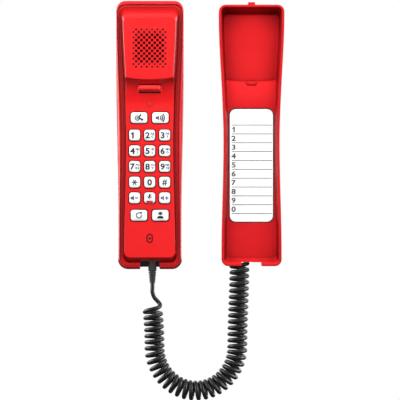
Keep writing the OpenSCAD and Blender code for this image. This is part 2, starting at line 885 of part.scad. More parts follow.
module handset_front() {
  color(red)
    place_handset()
      difference() {
        union() {
          front_body();
          for (p = post_places)
            translate([p[0], 0, p[1]])
              rod(handset_post_r, (p[1] > 0 ? -pad_rise : -face_rise) + 1, split_y);
          // collar that holds the speaker
          translate([0, 0, grille_z])
            difference() {
              rod(speaker_d / 2 + 1.5, -pad_rise + 1, -pad_rise + shell_wall + 5);
              rod(speaker_d / 2 + 0.2, -pad_rise, -pad_rise + shell_wall + 5 + cut);
            }
          hook_guide();
        }
        for (p = post_places)
          translate([p[0], 0, p[1]])
            rod(thread_r, -1, split_y + cut);
        // key openings
        slab(-face_rise - cut, -face_rise + shell_wall + cut) {
          at_digit_keys()
            rounded(key_w + 2 * key_gap, key_h + 2 * key_gap, key_corner + key_gap);
          at_wide_keys()
            rounded(wide_key_w + 2 * key_gap, key_h + 2 * key_gap, key_corner + key_gap);
        }
        translate([0, 0, grille_z])
          slab(-pad_rise - cut, -pad_rise + shell_wall + cut)
            grille();
        // mouthpiece: an oval groove with a hole in its middle
        translate([0, 0, mic_z]) {
          slab(-face_rise - cut, -face_rise + mouth_depth)
            difference() {
              mouth_oval(mouth_r);
              mouth_oval(mouth_r - mouth_groove);
            }
          rod(mic_hole_d / 2, -face_rise - cut, -face_rise + shell_wall + cut);
        }
        // slot of the hook bar, and the hole of the ring light
        translate([0, 0, hook_z])
          slab(-pad_rise - cut, 0)
            hook_slot(0);
        translate([0, 0, lens_z])
          rod(lens_r + 0.2, -pad_rise, 0);
        // cord notch
        block([-handset_notch_w / 2, handset_notch_w / 2], [-cut, ledge_y + flange_t + cut],
          [ledge_bottom - cut, ledge_bottom + notch_h + 0.8]);
      }
}

// Travel and heights of the keys, from the face back
flange_extra = 1.2;
key_flange_t = 0.8;
under_face_y = -face_rise + shell_wall;
key_flange_y = under_face_y + seat;
dome_y = key_flange_y + key_flange_t + key_travel + seat;
mat_y = dome_y + 0.8;
mat_t = 0.8;
board_front_y = mat_y + mat_t;
board_back_y = board_front_y + board_t;
board_half_w = base_waist_w / 2 - rim_wall - block_gap - shell_wall - 0.4;
main_board_rise = 20.3;  // from the handset's bottom to its board
main_board_z = [main_board_rise - handset_bottom, pocket_foot_z - 0.5];
main_hole_edge = 2.7;
main_hole_rise = 4;
main_hole_z = 24;
board_post_x = board_half_w - main_hole_edge;
board_post_rows = [main_hole_z, main_board_z[0] + main_hole_rise];
crown_r = 42;

module key_cap(w) {
  intersection() {
    slab(-face_rise - key_proud, key_flange_y + key_flange_t)
      rounded(w, key_h, key_corner);
    translate([0, crown_r - face_rise - key_proud, 0])
      sphere(r = crown_r, $fn = 96);
  }
  slab(key_flange_y, key_flange_y + key_flange_t)
    rounded(w + 2 * flange_extra, key_h + 2 * flange_extra, key_corner);
}

module digit_key(column, row) {
  color(white)
    place_handset()
      translate([digit_columns[column], 0, first_row_z - row * key_pitch_z])
        key_cap(key_w);
}

module wide_key(column, z) {
  color(white)
    place_handset()
      translate([wide_columns[column], 0, z])
        key_cap(wide_key_w);
}

module mute_key() {
  difference() {
    digit_key(1, 4);
    place_handset()
      translate([mute_x, 0, mute_z])
        block([-mute_w / 2 - 0.3, mute_w / 2 + 0.3], [-face_rise - 2 * key_proud, dome_y],
          [-key_h / 2, mute_h / 2 + 0.3]);
  }
}

module mute_light() {
  color(deep_red)
    place_handset()
      translate([mute_x, 0, mute_z])
        slab(-face_rise - key_proud + 0.4, board_front_y)
          rounded(mute_w, mute_h, 0.4);
}

module ring_light() {
  color(deep_red)
    place_handset()
      translate([0, 0, lens_z])
        rod(lens_r, -face_rise - 0.4, board_front_y);
}

module main_board() {
  color(green)
    place_handset()
      difference() {
        block([-board_half_w, board_half_w], [board_front_y, board_back_y], main_board_z);
        for (side = [-1, 1])
          for (z = board_post_rows)
            translate([side * board_post_x, 0, z])
              rod(1.3, board_front_y - cut, board_back_y + cut);
      }
}

module board_screws() {
  color(steel)
    place_handset()
      for (side = [-1, 1])
        for (z = board_post_rows)
          translate([side * board_post_x, 0, z]) {
            rod(pan_head_r, board_front_y - pan_head_t, board_front_y);
            rod(pilot_r, board_front_y, board_back_y + pan_thread);
          }
}

module keypad_mat() {
  color(grey)
    place_handset()
      difference() {
        union() {
          translate([0, 0, (wide_top_z + wide_bottom_z) / 2])
            slab(mat_y, mat_y + mat_t)
              rounded(2 * (key_pitch_x + 3.8), wide_top_z - wide_bottom_z + key_h, 2);
          for (x = digit_columns)
            for (i = [0:4])
              translate([x, 0, first_row_z - i * key_pitch_z])
                key_dome();
          for (x = wide_columns)
            for (z = [wide_top_z, wide_bottom_z])
              translate([x, 0, z])
                key_dome();
        }
        translate([mute_x, 0, mute_z])
          block([-mute_w / 2 - 0.3, mute_w / 2 + 0.3], [dome_y - cut, mat_y + mat_t + cut],
            [-mute_h / 2 - 0.3, mute_h / 2 + 0.3]);
      }
}

module key_dome() {
  translate([0, mat_y + 0.1, 0])
    rotate([90, 0, 0])
      cylinder(r1 = 3.2, r2 = 2.2, h = mat_y + 0.1 - dome_y);
}

speaker_y = -pad_rise + shell_wall;
gasket_t = 0.8;
speaker_rim_t = 2.4;
speaker_frame_t = 4;
magnet_r = 6.5;
magnet_t = 6;
cone_r = 4.5;
cone_depth = 1.8;

module speaker_gasket() {
  color(black)
    place_handset()
      translate([0, 0, grille_z])
        difference() {
          rod(speaker_d / 2, speaker_y, speaker_y + gasket_t);
          rod(speaker_d / 2 - 1.6, speaker_y - cut, speaker_y + gasket_t + cut);
        }
}

module earpiece_speaker() {
  color(grey)
    place_handset()
      translate([0, speaker_y + gasket_t, grille_z])
        difference() {
          union() {
            rod(speaker_d / 2, 0, speaker_rim_t);
            rod(speaker_d / 2 - speaker_rim_t, speaker_rim_t / 2, speaker_frame_t);
            rod(magnet_r, speaker_frame_t / 2 + 1, magnet_t);
          }
          // cone
          translate([0, -0.01, 0])
            rotate([-90, 0, 0])
              cylinder(r1 = speaker_d / 2 - 2, r2 = cone_r, h = cone_depth);
        }
}

mic_r = 3;

module mic_boot() {
  color(black)
    place_handset()
      translate([0, 0, mic_z])
        difference() {
          rod(mic_r + 1.3, under_face_y, board_front_y);
          rod(mic_r + 0.1, under_face_y + 0.8, board_front_y + cut);
          rod(0.8, under_face_y - cut, under_face_y + 1);
        }
}

module microphone() {
  color(steel)
    place_handset()
      translate([0, 0, mic_z])
        rod(mic_r, under_face_y + 0.8, under_face_y + 3.5);
}

hook_top_y = -pad_rise + 1.1;
hook_low_y = -1.9;
hook_bar_r = 3;
hook_ear = 1.2;
hook_ear_t = 1;

module hook_bar() {
  color(deep_red)
    place_handset()
      translate([0, 0, hook_z]) {
        intersection() {
          translate([-hook_w / 2, hook_top_y + hook_bar_r, 0])
            rotate([0, 90, 0])
              cylinder(r = hook_bar_r, h = hook_w);
          block([-hook_w / 2, hook_w / 2], [hook_top_y, hook_top_y + hook_bar_r],
            [-hook_h / 2, hook_h / 2]);
        }
        block([-hook_w / 2, hook_w / 2], [hook_top_y + hook_bar_r, hook_low_y],
          [-hook_h / 2, hook_h / 2]);
        // ears that keep the bar in its slot
        block([-hook_w / 2 - hook_gap_x - hook_ear, hook_w / 2 + hook_gap_x + hook_ear],
          [hook_low_y - hook_ear_t, hook_low_y], [-hook_h / 2, hook_h / 2]);
      }
}

module hook_switch() {
  color(black)
    place_handset()
      translate([0, 0, hook_z])
        block([-6, 6], [hook_low_y + hook_travel + seat, board_front_y], [-2.6, 2.6]);
}

// Socket block behind the cord notch, with a well for plug and boot that is open to the front
module handset_socket() {
  low = 1.8 - handset_bottom;
  color(black)
    place_handset()
      difference() {
        block([-handset_notch_w / 2 + slip, handset_notch_w / 2 - slip],
          [ledge_y + flange_t + slip, cord_y + socket_back], [low, socket_mouth_z + plug_l + 2]);
        block([cord_x - plug_w / 2 - plug_gap, cord_x + plug_w / 2 + plug_gap],
          [cord_y - plug_h / 2 - 0.9, cord_y + plug_h / 2 + plug_gap],
          [socket_mouth_z - cut, socket_mouth_z + plug_l + 0.5]);
        block([-handset_notch_w / 2 + 1, handset_notch_w / 2 - 1],
          [-cut, cord_y + boot_r + 0.3], [low - cut, socket_mouth_z]);
      }
}

module handset_plug() {
  color(clear, 0.6)
    place_handset()
      translate([cord_x, cord_y, socket_mouth_z])
        plug();
}

boot_r = 3.3;
boot_tip_r = 2.4;
boot_l = 17.4;
boot_ribs = 5;
rib_pitch = 1.9;
rib_gap = 1;
boot_collar = 7.4;
boot_top = socket_mouth_z;
boot_end = boot_top - boot_l;

module cord_boot() {
  color(black)
    place_handset()
      translate([cord_x, cord_y, boot_end])
        difference() {
          union() {
            cylinder(r1 = boot_tip_r, r2 = boot_r, h = boot_l - boot_collar);
            translate([0, 0, boot_l - boot_collar])
              cylinder(r = boot_r, h = boot_collar);
          }
          // bending slots on both sides of a spine
          for (i = [0:boot_ribs - 1])
            for (side = [-1, 1])
              translate([0, 0, rib_gap + i * rib_pitch])
                block([side > 0 ? 1 : -2 * boot_r, side > 0 ? 2 * boot_r : -1],
                  [-2 * boot_r, 2 * boot_r], [0, rib_gap]);
        }
}

// ---- curly cord ------------------------------------------------------------------------------

// Hand-chosen points of the tail from the boot to the first curl, and from the last curl to
// the plug in the cradle. The coil's middle line runs down a leg, round a half ellipse and up
// the other leg.
boot_tip = [cord_x - handset_x, cord_y + lip_y, boot_end];
plug_end = [board_x, plug_y, socket_z - plug_l + plug_in];
handset_tail = [
  [-78.7, -12.2, -124], [-77.3, -12, -128.4], [-74.4, -11.8, -131.8], [-72.4, -13.4, -134.6],
  [-74, -17.2, -136.4], [-78.6, -18.8, -137.6], [-83, -16.8, -138.8]
];
base_tail = [
  [-4.2, -5.2, -100.2], [-6.8, -4.6, -98], [-8.8, -6, -95], [-9.7, -8.4, -91.2],
  [-9.8, -9.6, -86]
];
coil_start = [-78.4, -12, -139.6];
coil_end = [-9.3, -8.8, -101.5];
bend_middle = [-44, -168];
bend_r = [33, 35];

function coil_y(x) = mix(coil_start[1], coil_end[1], (x - coil_start[0]) / (coil_end[0] - coil_start[0]));
leg_steps = 12;
bend_steps = 36;
bend_first_x = bend_middle[0] - bend_r[0];
bend_last_x = bend_middle[0] + bend_r[0];
left_leg = [for (i = [0:leg_steps - 1])
  let (t = 1 - i / leg_steps)
  [mix(bend_first_x, coil_start[0], t * t), mix(bend_middle[1], coil_start[2], t)]];
bend = [for (i = [0:bend_steps])
  let (a = 180 * i / bend_steps)
  [bend_middle[0] - bend_r[0] * cos(a), bend_middle[1] - bend_r[1] * sin(a)]];
right_leg = [for (i = [1:leg_steps])
  let (t = i / leg_steps)
  [mix(bend_last_x, coil_end[0], ease(t)), mix(bend_middle[1], coil_end[2], t)]];
coil_line = [for (p = concat(left_leg, bend, right_leg)) [p[0], coil_y(p[0]), p[1]]];

// Running length at each point of a line
function running(points, i = 0, sum = 0, out = []) =
  i == len(points) ? out :
  let (s = i == 0 ? 0 : sum + norm(points[i] - points[i - 1]))
  running(points, i + 1, s, concat(out, [s]));
line_length = running(coil_line);
coil_length = line_length[len(line_length) - 1];
function step_at(s, low, high) =
  high - low <= 1 ? low :
  let (middle = floor((low + high) / 2))
  line_length[middle] <= s ? step_at(s, middle, high) : step_at(s, low, middle);

function unit(v) = v / norm(v);
function tangent(k) =
  let (last = len(coil_line) - 1)
  unit(coil_line[min(last, k + 1)] - coil_line[max(0, k - 1)]);

// Point of the cord: each turn starts on the outside of the bend and goes behind first
function curl_point(turn) =
  let (s = turn / curls * coil_length)
  let (k = step_at(s, 0, len(line_length) - 1))
  let (f = (s - line_length[k]) / (line_length[k + 1] - line_length[k]))
  let (middle = mix(coil_line[k], coil_line[k + 1], f))
  let (along = unit(mix(tangent(k), tangent(k + 1), f)))
  let (across = unit(cross([0, 1, 0], along)))
  let (deep = cross(along, across))
  middle + curl_r * (across * cos(360 * turn) + deep * sin(360 * turn));

// Smooth curve through points, with steps between each two
function spline(p0, p1, p2, p3, t) = 0.5 * (
  2 * p1 + (p2 - p0) * t + (2 * p0 - 5 * p1 + 4 * p2 - p3) * t * t
  + (3 * p1 - p0 - 3 * p2 + p3) * t * t * t
);
function smooth(points, steps) = [
  for (k = [1:len(points) - 3])
    for (i = [0:steps - 1])
      spline(points[k - 1], points[k], points[k + 1], points[k + 2], i / steps)
];

curl_rings = 8;
tail_steps = 2;
curl_points = [for (i = [0:curl_rings * curls]) curl_point(i / curl_rings)];
first_curl = curl_points[0];
last_curl = curl_points[len(curl_points) - 1];
cord_points = concat(
  [boot_tip],
  smooth(concat([boot_tip, boot_tip - [0, 0, cord_d]], handset_tail,
    [first_curl, curl_points[1]]), tail_steps),
  curl_points,
  [for (i = [1:1:tail_steps - 1])
    spline(curl_points[len(curl_points) - 2], last_curl, base_tail[0], base_tail[1],
      i / tail_steps)],
  smooth(concat([last_curl], base_tail, [plug_end - [0, 0, cord_d], plug_end]), tail_steps),
  [plug_end - [0, 0, cord_d], plug_end]
);

// Least gap between one curl and the next, and the cord's length
function gap_to_next(i) = min([for (j = [curl_rings - 3:curl_rings + 3])
  i + j < len(curl_points) ? norm(curl_points[i] - curl_points[i + j]) : 99]) - cord_d;
least_gap = min([for (i = [0:len(curl_points) - 1]) gap_to_next(i)]);
cord_length = running(cord_points)[len(cord_points) - 1];
echo(least_gap = least_gap, coil_length = coil_length, cord_length = cord_length);

cord_sides = 6;
function tube_points(path, r, sides) = [
  for (i = [0:len(path) - 1])
    let (last = len(path) - 1)
    let (along = i == 0 ? path[1] - path[0] : i == last ? path[last] - path[last - 1]
      : unit(path[i + 1] - path[i]) + unit(path[i] - path[i - 1]))
    let (t = unit(along))
    let (side = unit(cross(t, abs(t[1]) < 0.9 ? [0, 1, 0] : [1, 0, 0])))
    let (up = cross(side, t))
    for (n = [0:sides - 1])
      path[i] + r * (side * cos(360 * n / sides) + up * sin(360 * n / sides))
];
function tube_faces(count, sides) = concat(
  [[for (n = [sides - 1:-1:0]) n]],
  [for (k = [0:count - 2])
    for (n = [0:sides - 1])
      for (half = [0, 1])
        let (a = k * sides + n)
        let (b = k * sides + (n + 1) % sides)
        half == 0 ? [a, b, a + sides] : [a + sides, b, b + sides]],
  [[for (n = [0:sides - 1]) (count - 1) * sides + n]]
);

module curly_cord() {
  color(black)
    polyhedron(tube_points(cord_points, cord_d / 2, cord_sides),
      tube_faces(len(cord_points), cord_sides), convexity = 10);
}

// ---- what is drawn ---------------------------------------------------------------------------

base_shell();
wall_plate();
lock_screw();
dial_card();
card_window();
line_board();
line_board_screws();
cord_socket();
line_socket();
base_plug();
curly_cord();
handset_back();
handset_front();
handset_screws();
main_board();
board_screws();
keypad_mat();
earpiece_speaker();
speaker_gasket();
microphone();
mic_boot();
hook_bar();
hook_switch();
mute_light();
ring_light();
handset_socket();
handset_plug();
cord_boot();
digit_key(0, 0);  // key_1
digit_key(1, 0);  // key_2
digit_key(2, 0);  // key_3
digit_key(0, 1);  // key_4
digit_key(1, 1);  // key_5
digit_key(2, 1);  // key_6
digit_key(0, 2);  // key_7
digit_key(1, 2);  // key_8
digit_key(2, 2);  // key_9
digit_key(0, 3);  // key_star
digit_key(1, 3);  // key_0
digit_key(2, 3);  // key_hash
digit_key(0, 4);  // key_volume_down
mute_key();  // key_mute
digit_key(2, 4);  // key_volume_up
wide_key(0, wide_top_z);  // key_line
wide_key(1, wide_top_z);  // key_speaker
wide_key(0, wide_bottom_z);  // key_redial
wide_key(1, wide_bottom_z);  // key_service
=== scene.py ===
from math import asin, cos, hypot, pi, radians, sin, sqrt

import bmesh
import bpy
import numpy as np
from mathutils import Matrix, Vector


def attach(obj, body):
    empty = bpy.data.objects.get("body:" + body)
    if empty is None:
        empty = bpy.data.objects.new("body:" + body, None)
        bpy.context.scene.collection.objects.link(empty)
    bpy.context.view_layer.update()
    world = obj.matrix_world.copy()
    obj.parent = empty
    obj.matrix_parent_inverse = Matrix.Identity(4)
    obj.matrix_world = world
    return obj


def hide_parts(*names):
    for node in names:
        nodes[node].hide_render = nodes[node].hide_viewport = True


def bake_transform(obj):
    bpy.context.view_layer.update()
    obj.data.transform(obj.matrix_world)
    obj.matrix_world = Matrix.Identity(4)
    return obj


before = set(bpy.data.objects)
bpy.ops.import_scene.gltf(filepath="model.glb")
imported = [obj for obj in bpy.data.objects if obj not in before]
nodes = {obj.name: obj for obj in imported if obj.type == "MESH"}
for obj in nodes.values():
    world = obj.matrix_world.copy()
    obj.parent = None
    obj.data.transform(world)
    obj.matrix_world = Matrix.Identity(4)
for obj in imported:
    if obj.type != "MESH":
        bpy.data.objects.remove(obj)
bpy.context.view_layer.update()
mm = 0.001
print("frame loaded,", len(nodes), "nodes")


def ease(t):
    c = min(1.0, max(0.0, t))
    return c * c * (3 - 2 * c)


def mix(a, b, t):
    return a + (b - a) * t


def angles(start, end, count):  # given in degrees, used in radians
    return np.radians(np.linspace(start, end, count))


def addToScene(name, data):
    thing = bpy.data.objects.new(name, data)
    bpy.context.scene.collection.objects.link(thing)
    return thing


# camera: straight at the wall, level with the keypad's lower rows
view = {"place": (-0.0408, -1.6, -0.051), "angle": 0.2}
camera = addToScene("camera", bpy.data.cameras.new("camera"))
camera.data.angle = view["angle"]
camera.location = view["place"]
camera.rotation_euler = (pi / 2, 0, 0)
bpy.context.scene.camera = camera


class Wire:  # a socket of a node tree; numbers and wires combine into Math nodes
    def __init__(self, tree, socket=None):
        self.tree = tree
        self.socket = socket

    def add(self, kind, settings=None, inputs=None, out=0):
        made = self.tree.nodes.new(kind)
        for key, value in (settings or {}).items():
            setattr(made, key, value)
        for key, value in (inputs or {}).items():
            if isinstance(value, Wire):
                self.tree.links.new(value.socket, made.inputs[key])
            else:
                made.inputs[key].default_value = value
        return Wire(self.tree, made.outputs[out])

    def reckon(self, operation, *terms):
        return self.add("ShaderNodeMath", {"operation": operation}, dict(enumerate(terms)))

    def __add__(self, other):
        return self.reckon("ADD", self, other)

    __radd__ = __add__

    def __sub__(self, other):
        return self.reckon("SUBTRACT", self, other)

    def __rsub__(self, other):
        return self.reckon("SUBTRACT", other, self)

    def __mul__(self, other):
        return self.reckon("MULTIPLY", self, other)

    __rmul__ = __mul__

    def noise(self, scale, detail=2.0, roughness=0.5):
        return self.add("ShaderNodeTexNoise", None,
                        {"Vector": self, "Scale": scale, "Detail": detail, "Roughness": roughness})

    def part(self, axis):  # one coordinate of a place
        return self.add("ShaderNodeSeparateXYZ", None, {0: self}, axis)

    def between(self, low, high):  # 0 below low, 1 above high
        return self.add("ShaderNodeMapRange", {"interpolation_type": "SMOOTHSTEP"},
                        {"Value": self, "From Min": low, "From Max": high})

    def colours(self, first, second):  # from the first colour to the second by this share
        return self.add("ShaderNodeMix", {"data_type": "RGBA"},
                        {0: self, 6: first, 7: second}, 2)

    def bump(self, depth):
        return self.add("ShaderNodeBump", None, {"Height": self, "Distance": depth})

    # openness is the mask for painted shade: colours are darkened by it in grooves and corners
    def openness(self, low, high):  # 0 deep in grooves and corners, 1 in the open
        free = self.add("ShaderNodeAmbientOcclusion", {"samples": 8}, {"Distance": 0.02}, "AO")
        return free.between(low, high)


def tint(red, green, blue):  # a colour as it shows, 0 to 255, in the renderer's light values
    return tuple((c / 255 / 12.92 if c < 10.3 else ((c / 255 + 0.055) / 1.055) ** 2.4)
                 for c in (red, green, blue)) + (1.0,)


def finish(name, fixed, paint):
    material = bpy.data.materials.new(name)
    material.use_nodes = True
    tree = material.node_tree
    shader = tree.nodes["Principled BSDF"]
    for socket, value in fixed.items():
        shader.inputs[socket].default_value = value
    place = Wire(tree).add("ShaderNodeTexCoord", out="Object")
    for socket, wire in paint(place).items():
        tree.links.new(wire.socket, shader.inputs[socket])
    return material


def plastic(name, base, shade, rough, specular=0.5, coat=(0, 0.03), grain=1700, skin=0.000006,
            scuffs=0.05, deep=None):
    # moulded plastic: slow unevenness in colour, fine skin, a few dull handling marks,
    # and, where deep is given, painted shade: the colour darkens towards deep in grooves and
    # corners
    def paint(place):
        cloud = place.noise(24, 3)
        marks = place.noise(210, 6, 0.62).between(0.6, 0.72)
        colour = cloud.between(0.3, 0.7).colours(tint(*base), tint(*shade))
        if deep:
            # painted shade: darker in grooves and corners, by the ambient-occlusion mask
            colour = place.openness(0.25, 1.0).colours(tint(*deep), colour)
        return {"Base Color": colour,
                "Roughness": rough + (cloud - 0.5) * 0.04 + marks * scuffs,
                "Normal": place.noise(grain, 2).bump(skin)}

    return finish(name, {"Specular IOR Level": specular, "Coat Weight": coat[0],
                         "Coat Roughness": coat[1]}, paint)


def ink(name, base, shade, rough, specular, scuffs):
    return plastic(name, base, shade, rough, specular, grain=2200, skin=0.000003, scuffs=scuffs)


# deep is painted shade in the handset's grooves and corners
redGloss = plastic("redGloss", (224, 26, 29), (216, 22, 25), 0.24, 0.38, coat=(0.22, 0.12),
                   scuffs=0.015, deep=(84, 3, 6))
# the same red plastic as the handset, painted darker overall as painted shade, and with painted
# shade in grooves and corners
redCradleShaded = plastic("redCradleShaded", (200, 33, 36), (193, 29, 33), 0.36, 0.06, scuffs=0,
                    deep=(70, 2, 4))
redBar = plastic("redBar", (216, 34, 38), (206, 28, 32), 0.2, 0.4, coat=(0.2, 0.1))
faintLens = plastic("faintLens", (208, 22, 26), (200, 18, 22), 0.22, coat=(0.3, 0.1),
                    scuffs=0.01)
whiteKey = plastic("whiteKey", (240, 240, 241), (234, 234, 236), 0.34, 0.4, coat=(0.15, 0.2),
                   grain=1400, skin=0.000005, scuffs=0.08)
blackPlate = plastic("blackPlate", (34, 34, 36), (28, 28, 30), 0.5, 0.4, grain=1100,
                     skin=0.00003, scuffs=0.12)
blackSocket = plastic("blackSocket", (22, 22, 23), (17, 17, 18), 0.38, 0.45)
whiteSocket = plastic("whiteSocket", (226, 226, 222), (216, 216, 212), 0.4, 0.4)
blackBoot = plastic("blackBoot", (52, 52, 54), (44, 44, 46), 0.5, 0.35, grain=1900,
                    skin=0.000014, scuffs=0.1)
blackCord = plastic("blackCord", (32, 32, 33), (27, 27, 28), 0.36, coat=(0.12, 0.28),
                    grain=1500, skin=0.00001, scuffs=0.1)
greyRubber = plastic("greyRubber", (96, 97, 100), (84, 85, 88), 0.68, 0.3, grain=900,
                     skin=0.00002, scuffs=0.06)
# a dark red used as painted shade in the gaps round the keys and at the card's edge; the earpiece
# speaker also takes it
shadeDarkRed = plastic("shadeDarkRed", (66, 10, 13), (54, 8, 10), 0.6, 0.25, grain=1500, skin=0.00001)
blackFoam = plastic("blackFoam", (30, 30, 31), (18, 18, 19), 0.92, 0.15, grain=700,
                    skin=0.00025, scuffs=0)
darkPrint = ink("darkPrint", (44, 46, 50), (36, 38, 42), 0.46, 0.3, 0.04)
palePrint = ink("palePrint", (70, 73, 82), (60, 63, 72), 0.5, 0.3, 0.04)
blackPrint = ink("blackPrint", (24, 25, 28), (18, 19, 22), 0.55, 0.25, 0.04)
ruleGrey = ink("ruleGrey", (54, 54, 58), (46, 46, 50), 0.6, 0.25, 0)


def paintLens(place):
    speck = place.noise(600, 2)
    return {"Base Color": speck.between(0.35, 0.65).colours(tint(206, 22, 30), tint(188, 14, 24)),
            "Roughness": 0.16 + speck * 0.06}


def paintCard(place):
    fibre, cloud = place.noise(900, 5, 0.7), place.noise(30, 2)
    return {"Base Color": cloud.between(0.3, 0.7).colours(tint(238, 239, 240), tint(232, 233, 235)),
            "Roughness": 0.62 + (fibre - 0.5) * 0.1,
            "Normal": fibre.bump(0.00002)}


def paintClear(place):
    smear = place.noise(70, 4, 0.6)
    return {"Base Color": smear.colours(tint(232, 235, 237), tint(222, 226, 228)),
            "Roughness": 0.1 + smear.between(0.45, 0.7) * 0.1,
            "Alpha": 0.07 + smear.between(0.5, 0.75) * 0.03}


def paintPlug(place):
    smear = place.noise(260, 3)
    return {"Base Color": smear.colours(tint(214, 220, 224), tint(198, 205, 210)),
            "Roughness": 0.14 + smear * 0.08,
            "Alpha": 0.5 + smear * 0.14}


def paintBoard(place):  # solder mask over thin copper tracks
    tracks = place.add("ShaderNodeTexVoronoi", {"feature": "DISTANCE_TO_EDGE"},
                       {"Vector": place, "Scale": 420.0})
    copper = 1 - tracks.between(0.03, 0.07)
    mask = copper.colours(tint(24, 74, 44), tint(62, 118, 66))
    # painted shade: the board goes near black where the ambient-occlusion mask finds it enclosed
    return {"Base Color": place.openness(0.3, 0.9).colours(tint(16, 10, 8), mask),
            "Roughness": 0.32 + place.noise(300, 2) * 0.1,
            "Normal": copper.bump(0.00003)}


def paintSteel(place):
    brushed = place.add("ShaderNodeVectorMath", {"operation": "MULTIPLY"},
                        {0: place, 1: (300, 4000, 300)})
    lines = brushed.noise(1, 3)
    return {"Base Color": lines.colours(tint(196, 198, 202), tint(176, 178, 183)),
            "Roughness": 0.28 + (lines - 0.5) * 0.14,
            "Normal": lines.bump(0.000004)}


redLens = finish("redLens", {"Coat Weight": 0.5, "Coat Roughness": 0.05,
                             "Subsurface Weight": 0.2, "Subsurface Scale": 0.002,
                             "Subsurface Radius": (1.0, 0.1, 0.05)}, paintLens)
card = finish("card", {"Specular IOR Level": 0.2}, paintCard)
clearCover = finish("clearCover", {"Specular IOR Level": 0.5}, paintClear)
clearPlug = finish("clearPlug", {"Coat Weight": 0.3}, paintPlug)
board = finish("board", {"Coat Weight": 0.3, "Coat Roughness": 0.1}, paintBoard)
steel = finish("steel", {"Metallic": 1.0}, paintSteel)
print("finishes mixed")


def newPiece(name, points, faces):  # points in millimetres
    mesh = bpy.data.meshes.new(name)
    mesh.from_pydata([[c * mm for c in p] for p in points], [], faces)
    work = bmesh.new()
    work.from_mesh(mesh)
    bmesh.ops.recalc_face_normals(work, faces=work.faces)
    work.to_mesh(mesh)
    work.free()
    return addToScene(name, mesh)


def settle(piece):  # the modifiers become the mesh
    ready = piece.evaluated_get(bpy.context.evaluated_depsgraph_get())
    mesh = bpy.data.meshes.new_from_object(ready)
    piece.modifiers.clear()
    piece.data = mesh
    return piece


def carve(piece, operation, *tools):
    for tool in tools:
        step = piece.modifiers.new("carve", "BOOLEAN")
        step.object = tool
        step.operation = operation
        step.solver = "EXACT"
        settle(piece)
        bpy.data.objects.remove(tool)
    return piece


def evenNormals(piece):
    step = piece.modifiers.new("evenNormals", "WEIGHTED_NORMAL")
    step.keep_sharp = True


def smooth(piece, angle=32, even=True):
    piece.data.shade_smooth()
    piece.data.set_sharp_from_angle(angle=radians(angle))
    if even:
        evenNormals(piece)


def soften(piece, width, segments=2, angle=40):  # small rolled edges
    step = piece.modifiers.new("softEdges", "BEVEL")
    step.width = width * mm
    step.segments = segments
    step.limit_method = "ANGLE"
    step.angle_limit = radians(angle)
    return piece


def dress(piece, body, slot, material, *replaced):
    piece.data.materials.clear()
    piece.data.materials.append(material)
    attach(piece, body)
    if replaced:
        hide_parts(*replaced)


def belt(low, high, count):  # faces between two rings of points, which start at low and at high
    return [(low + i, low + (i + 1) % count, high + (i + 1) % count, high + i)
            for i in range(count)]


def slabs(outlines):
    # a flat shape: points as x, z and whether they are on its near side, and its faces
    flat, faces = [], []
    for outline in outlines:
        start, count = len(flat), len(outline)
        flat += [(x, z, True) for x, z in outline] + [(x, z, False) for x, z in outline]
        faces += [range(start, start + count),
                  range(start + 2 * count - 1, start + count - 1, -1)]
        faces += belt(start, start + count, count)
    return flat, faces


def raised(name, shape, near, far):  # a flat shape with its sides at y near and y far
    flat, faces = shape
    return newPiece(name, [(x, near if front else far, z) for x, z, front in flat], faces)


def prisms(name, outlines, near, far):
    return raised(name, slabs(outlines), near, far)


def roundedOutline(width, height, radius, x=0, z=0, steps=6):
    outline = []
    for quarter, (sx, sz) in enumerate(((1, 1), (-1, 1), (-1, -1), (1, -1))):
        for i in range(steps + 1):
            a = radians(90 * (quarter + i / steps))
            outline.append((x + sx * (width / 2 - radius) + radius * cos(a),
                            z + sz * (height / 2 - radius) + radius * sin(a)))
    return outline


def diskOutline(radius, x=0, z=0, sides=16):
    return [(x + radius * cos(2 * pi * i / sides),
             z + radius * sin(2 * pi * i / sides)) for i in range(sides)]


def boxOutline(x, z):
    return [(x[0], z[0]), (x[1], z[0]), (x[1], z[1]), (x[0], z[1])]


def box(name, x, y, z):
    return prisms(name, [boxOutline(x, z)], *y)


def upright(name, radius, place, z, sides=32):  # cylinder along Z
    points = [(x, y, h) for h in z for x, y in diskOutline(radius, *place, sides)]
    return newPiece(name, points, [range(sides), range(2 * sides - 1, sides - 1, -1),
                                   *belt(0, sides, sides)])


# curly cord: its route runs from the boot's tip to the plug in the cradle, in metres
cord = {
    "thick": 0.0033, "curlRadius": 0.0065, "curls": 41, "rings": 24, "sides": 12,
    "bootTip": (-0.0787, -0.0122, -0.117), "plugEnd": (-0.0098, -0.0097, -0.0695),
    "handsetTail": [(-0.0787, -0.0122, -0.124), (-0.0773, -0.012, -0.1284),
                    (-0.0744, -0.0118, -0.1318), (-0.0724, -0.0134, -0.1346),
                    (-0.074, -0.0172, -0.1364), (-0.0786, -0.0188, -0.1376),
                    (-0.083, -0.0168, -0.1388)],
    "baseTail": [(-0.0042, -0.0052, -0.1002), (-0.0068, -0.0046, -0.098),
                 (-0.0088, -0.006, -0.095), (-0.0097, -0.0084, -0.0912),
                 (-0.0098, -0.0096, -0.086)],
    "coilStart": (-0.0784, -0.012, -0.1396), "coilEnd": (-0.0093, -0.0088, -0.1015),
    "bendMiddle": (-0.044, -0.168), "bendRadii": (0.033, 0.035), "length": 1.75,
    "blendStart": (-0.020, 0, 0), "blendEnd": (-0.068, 0, 0), "tailSteps": 7,
}


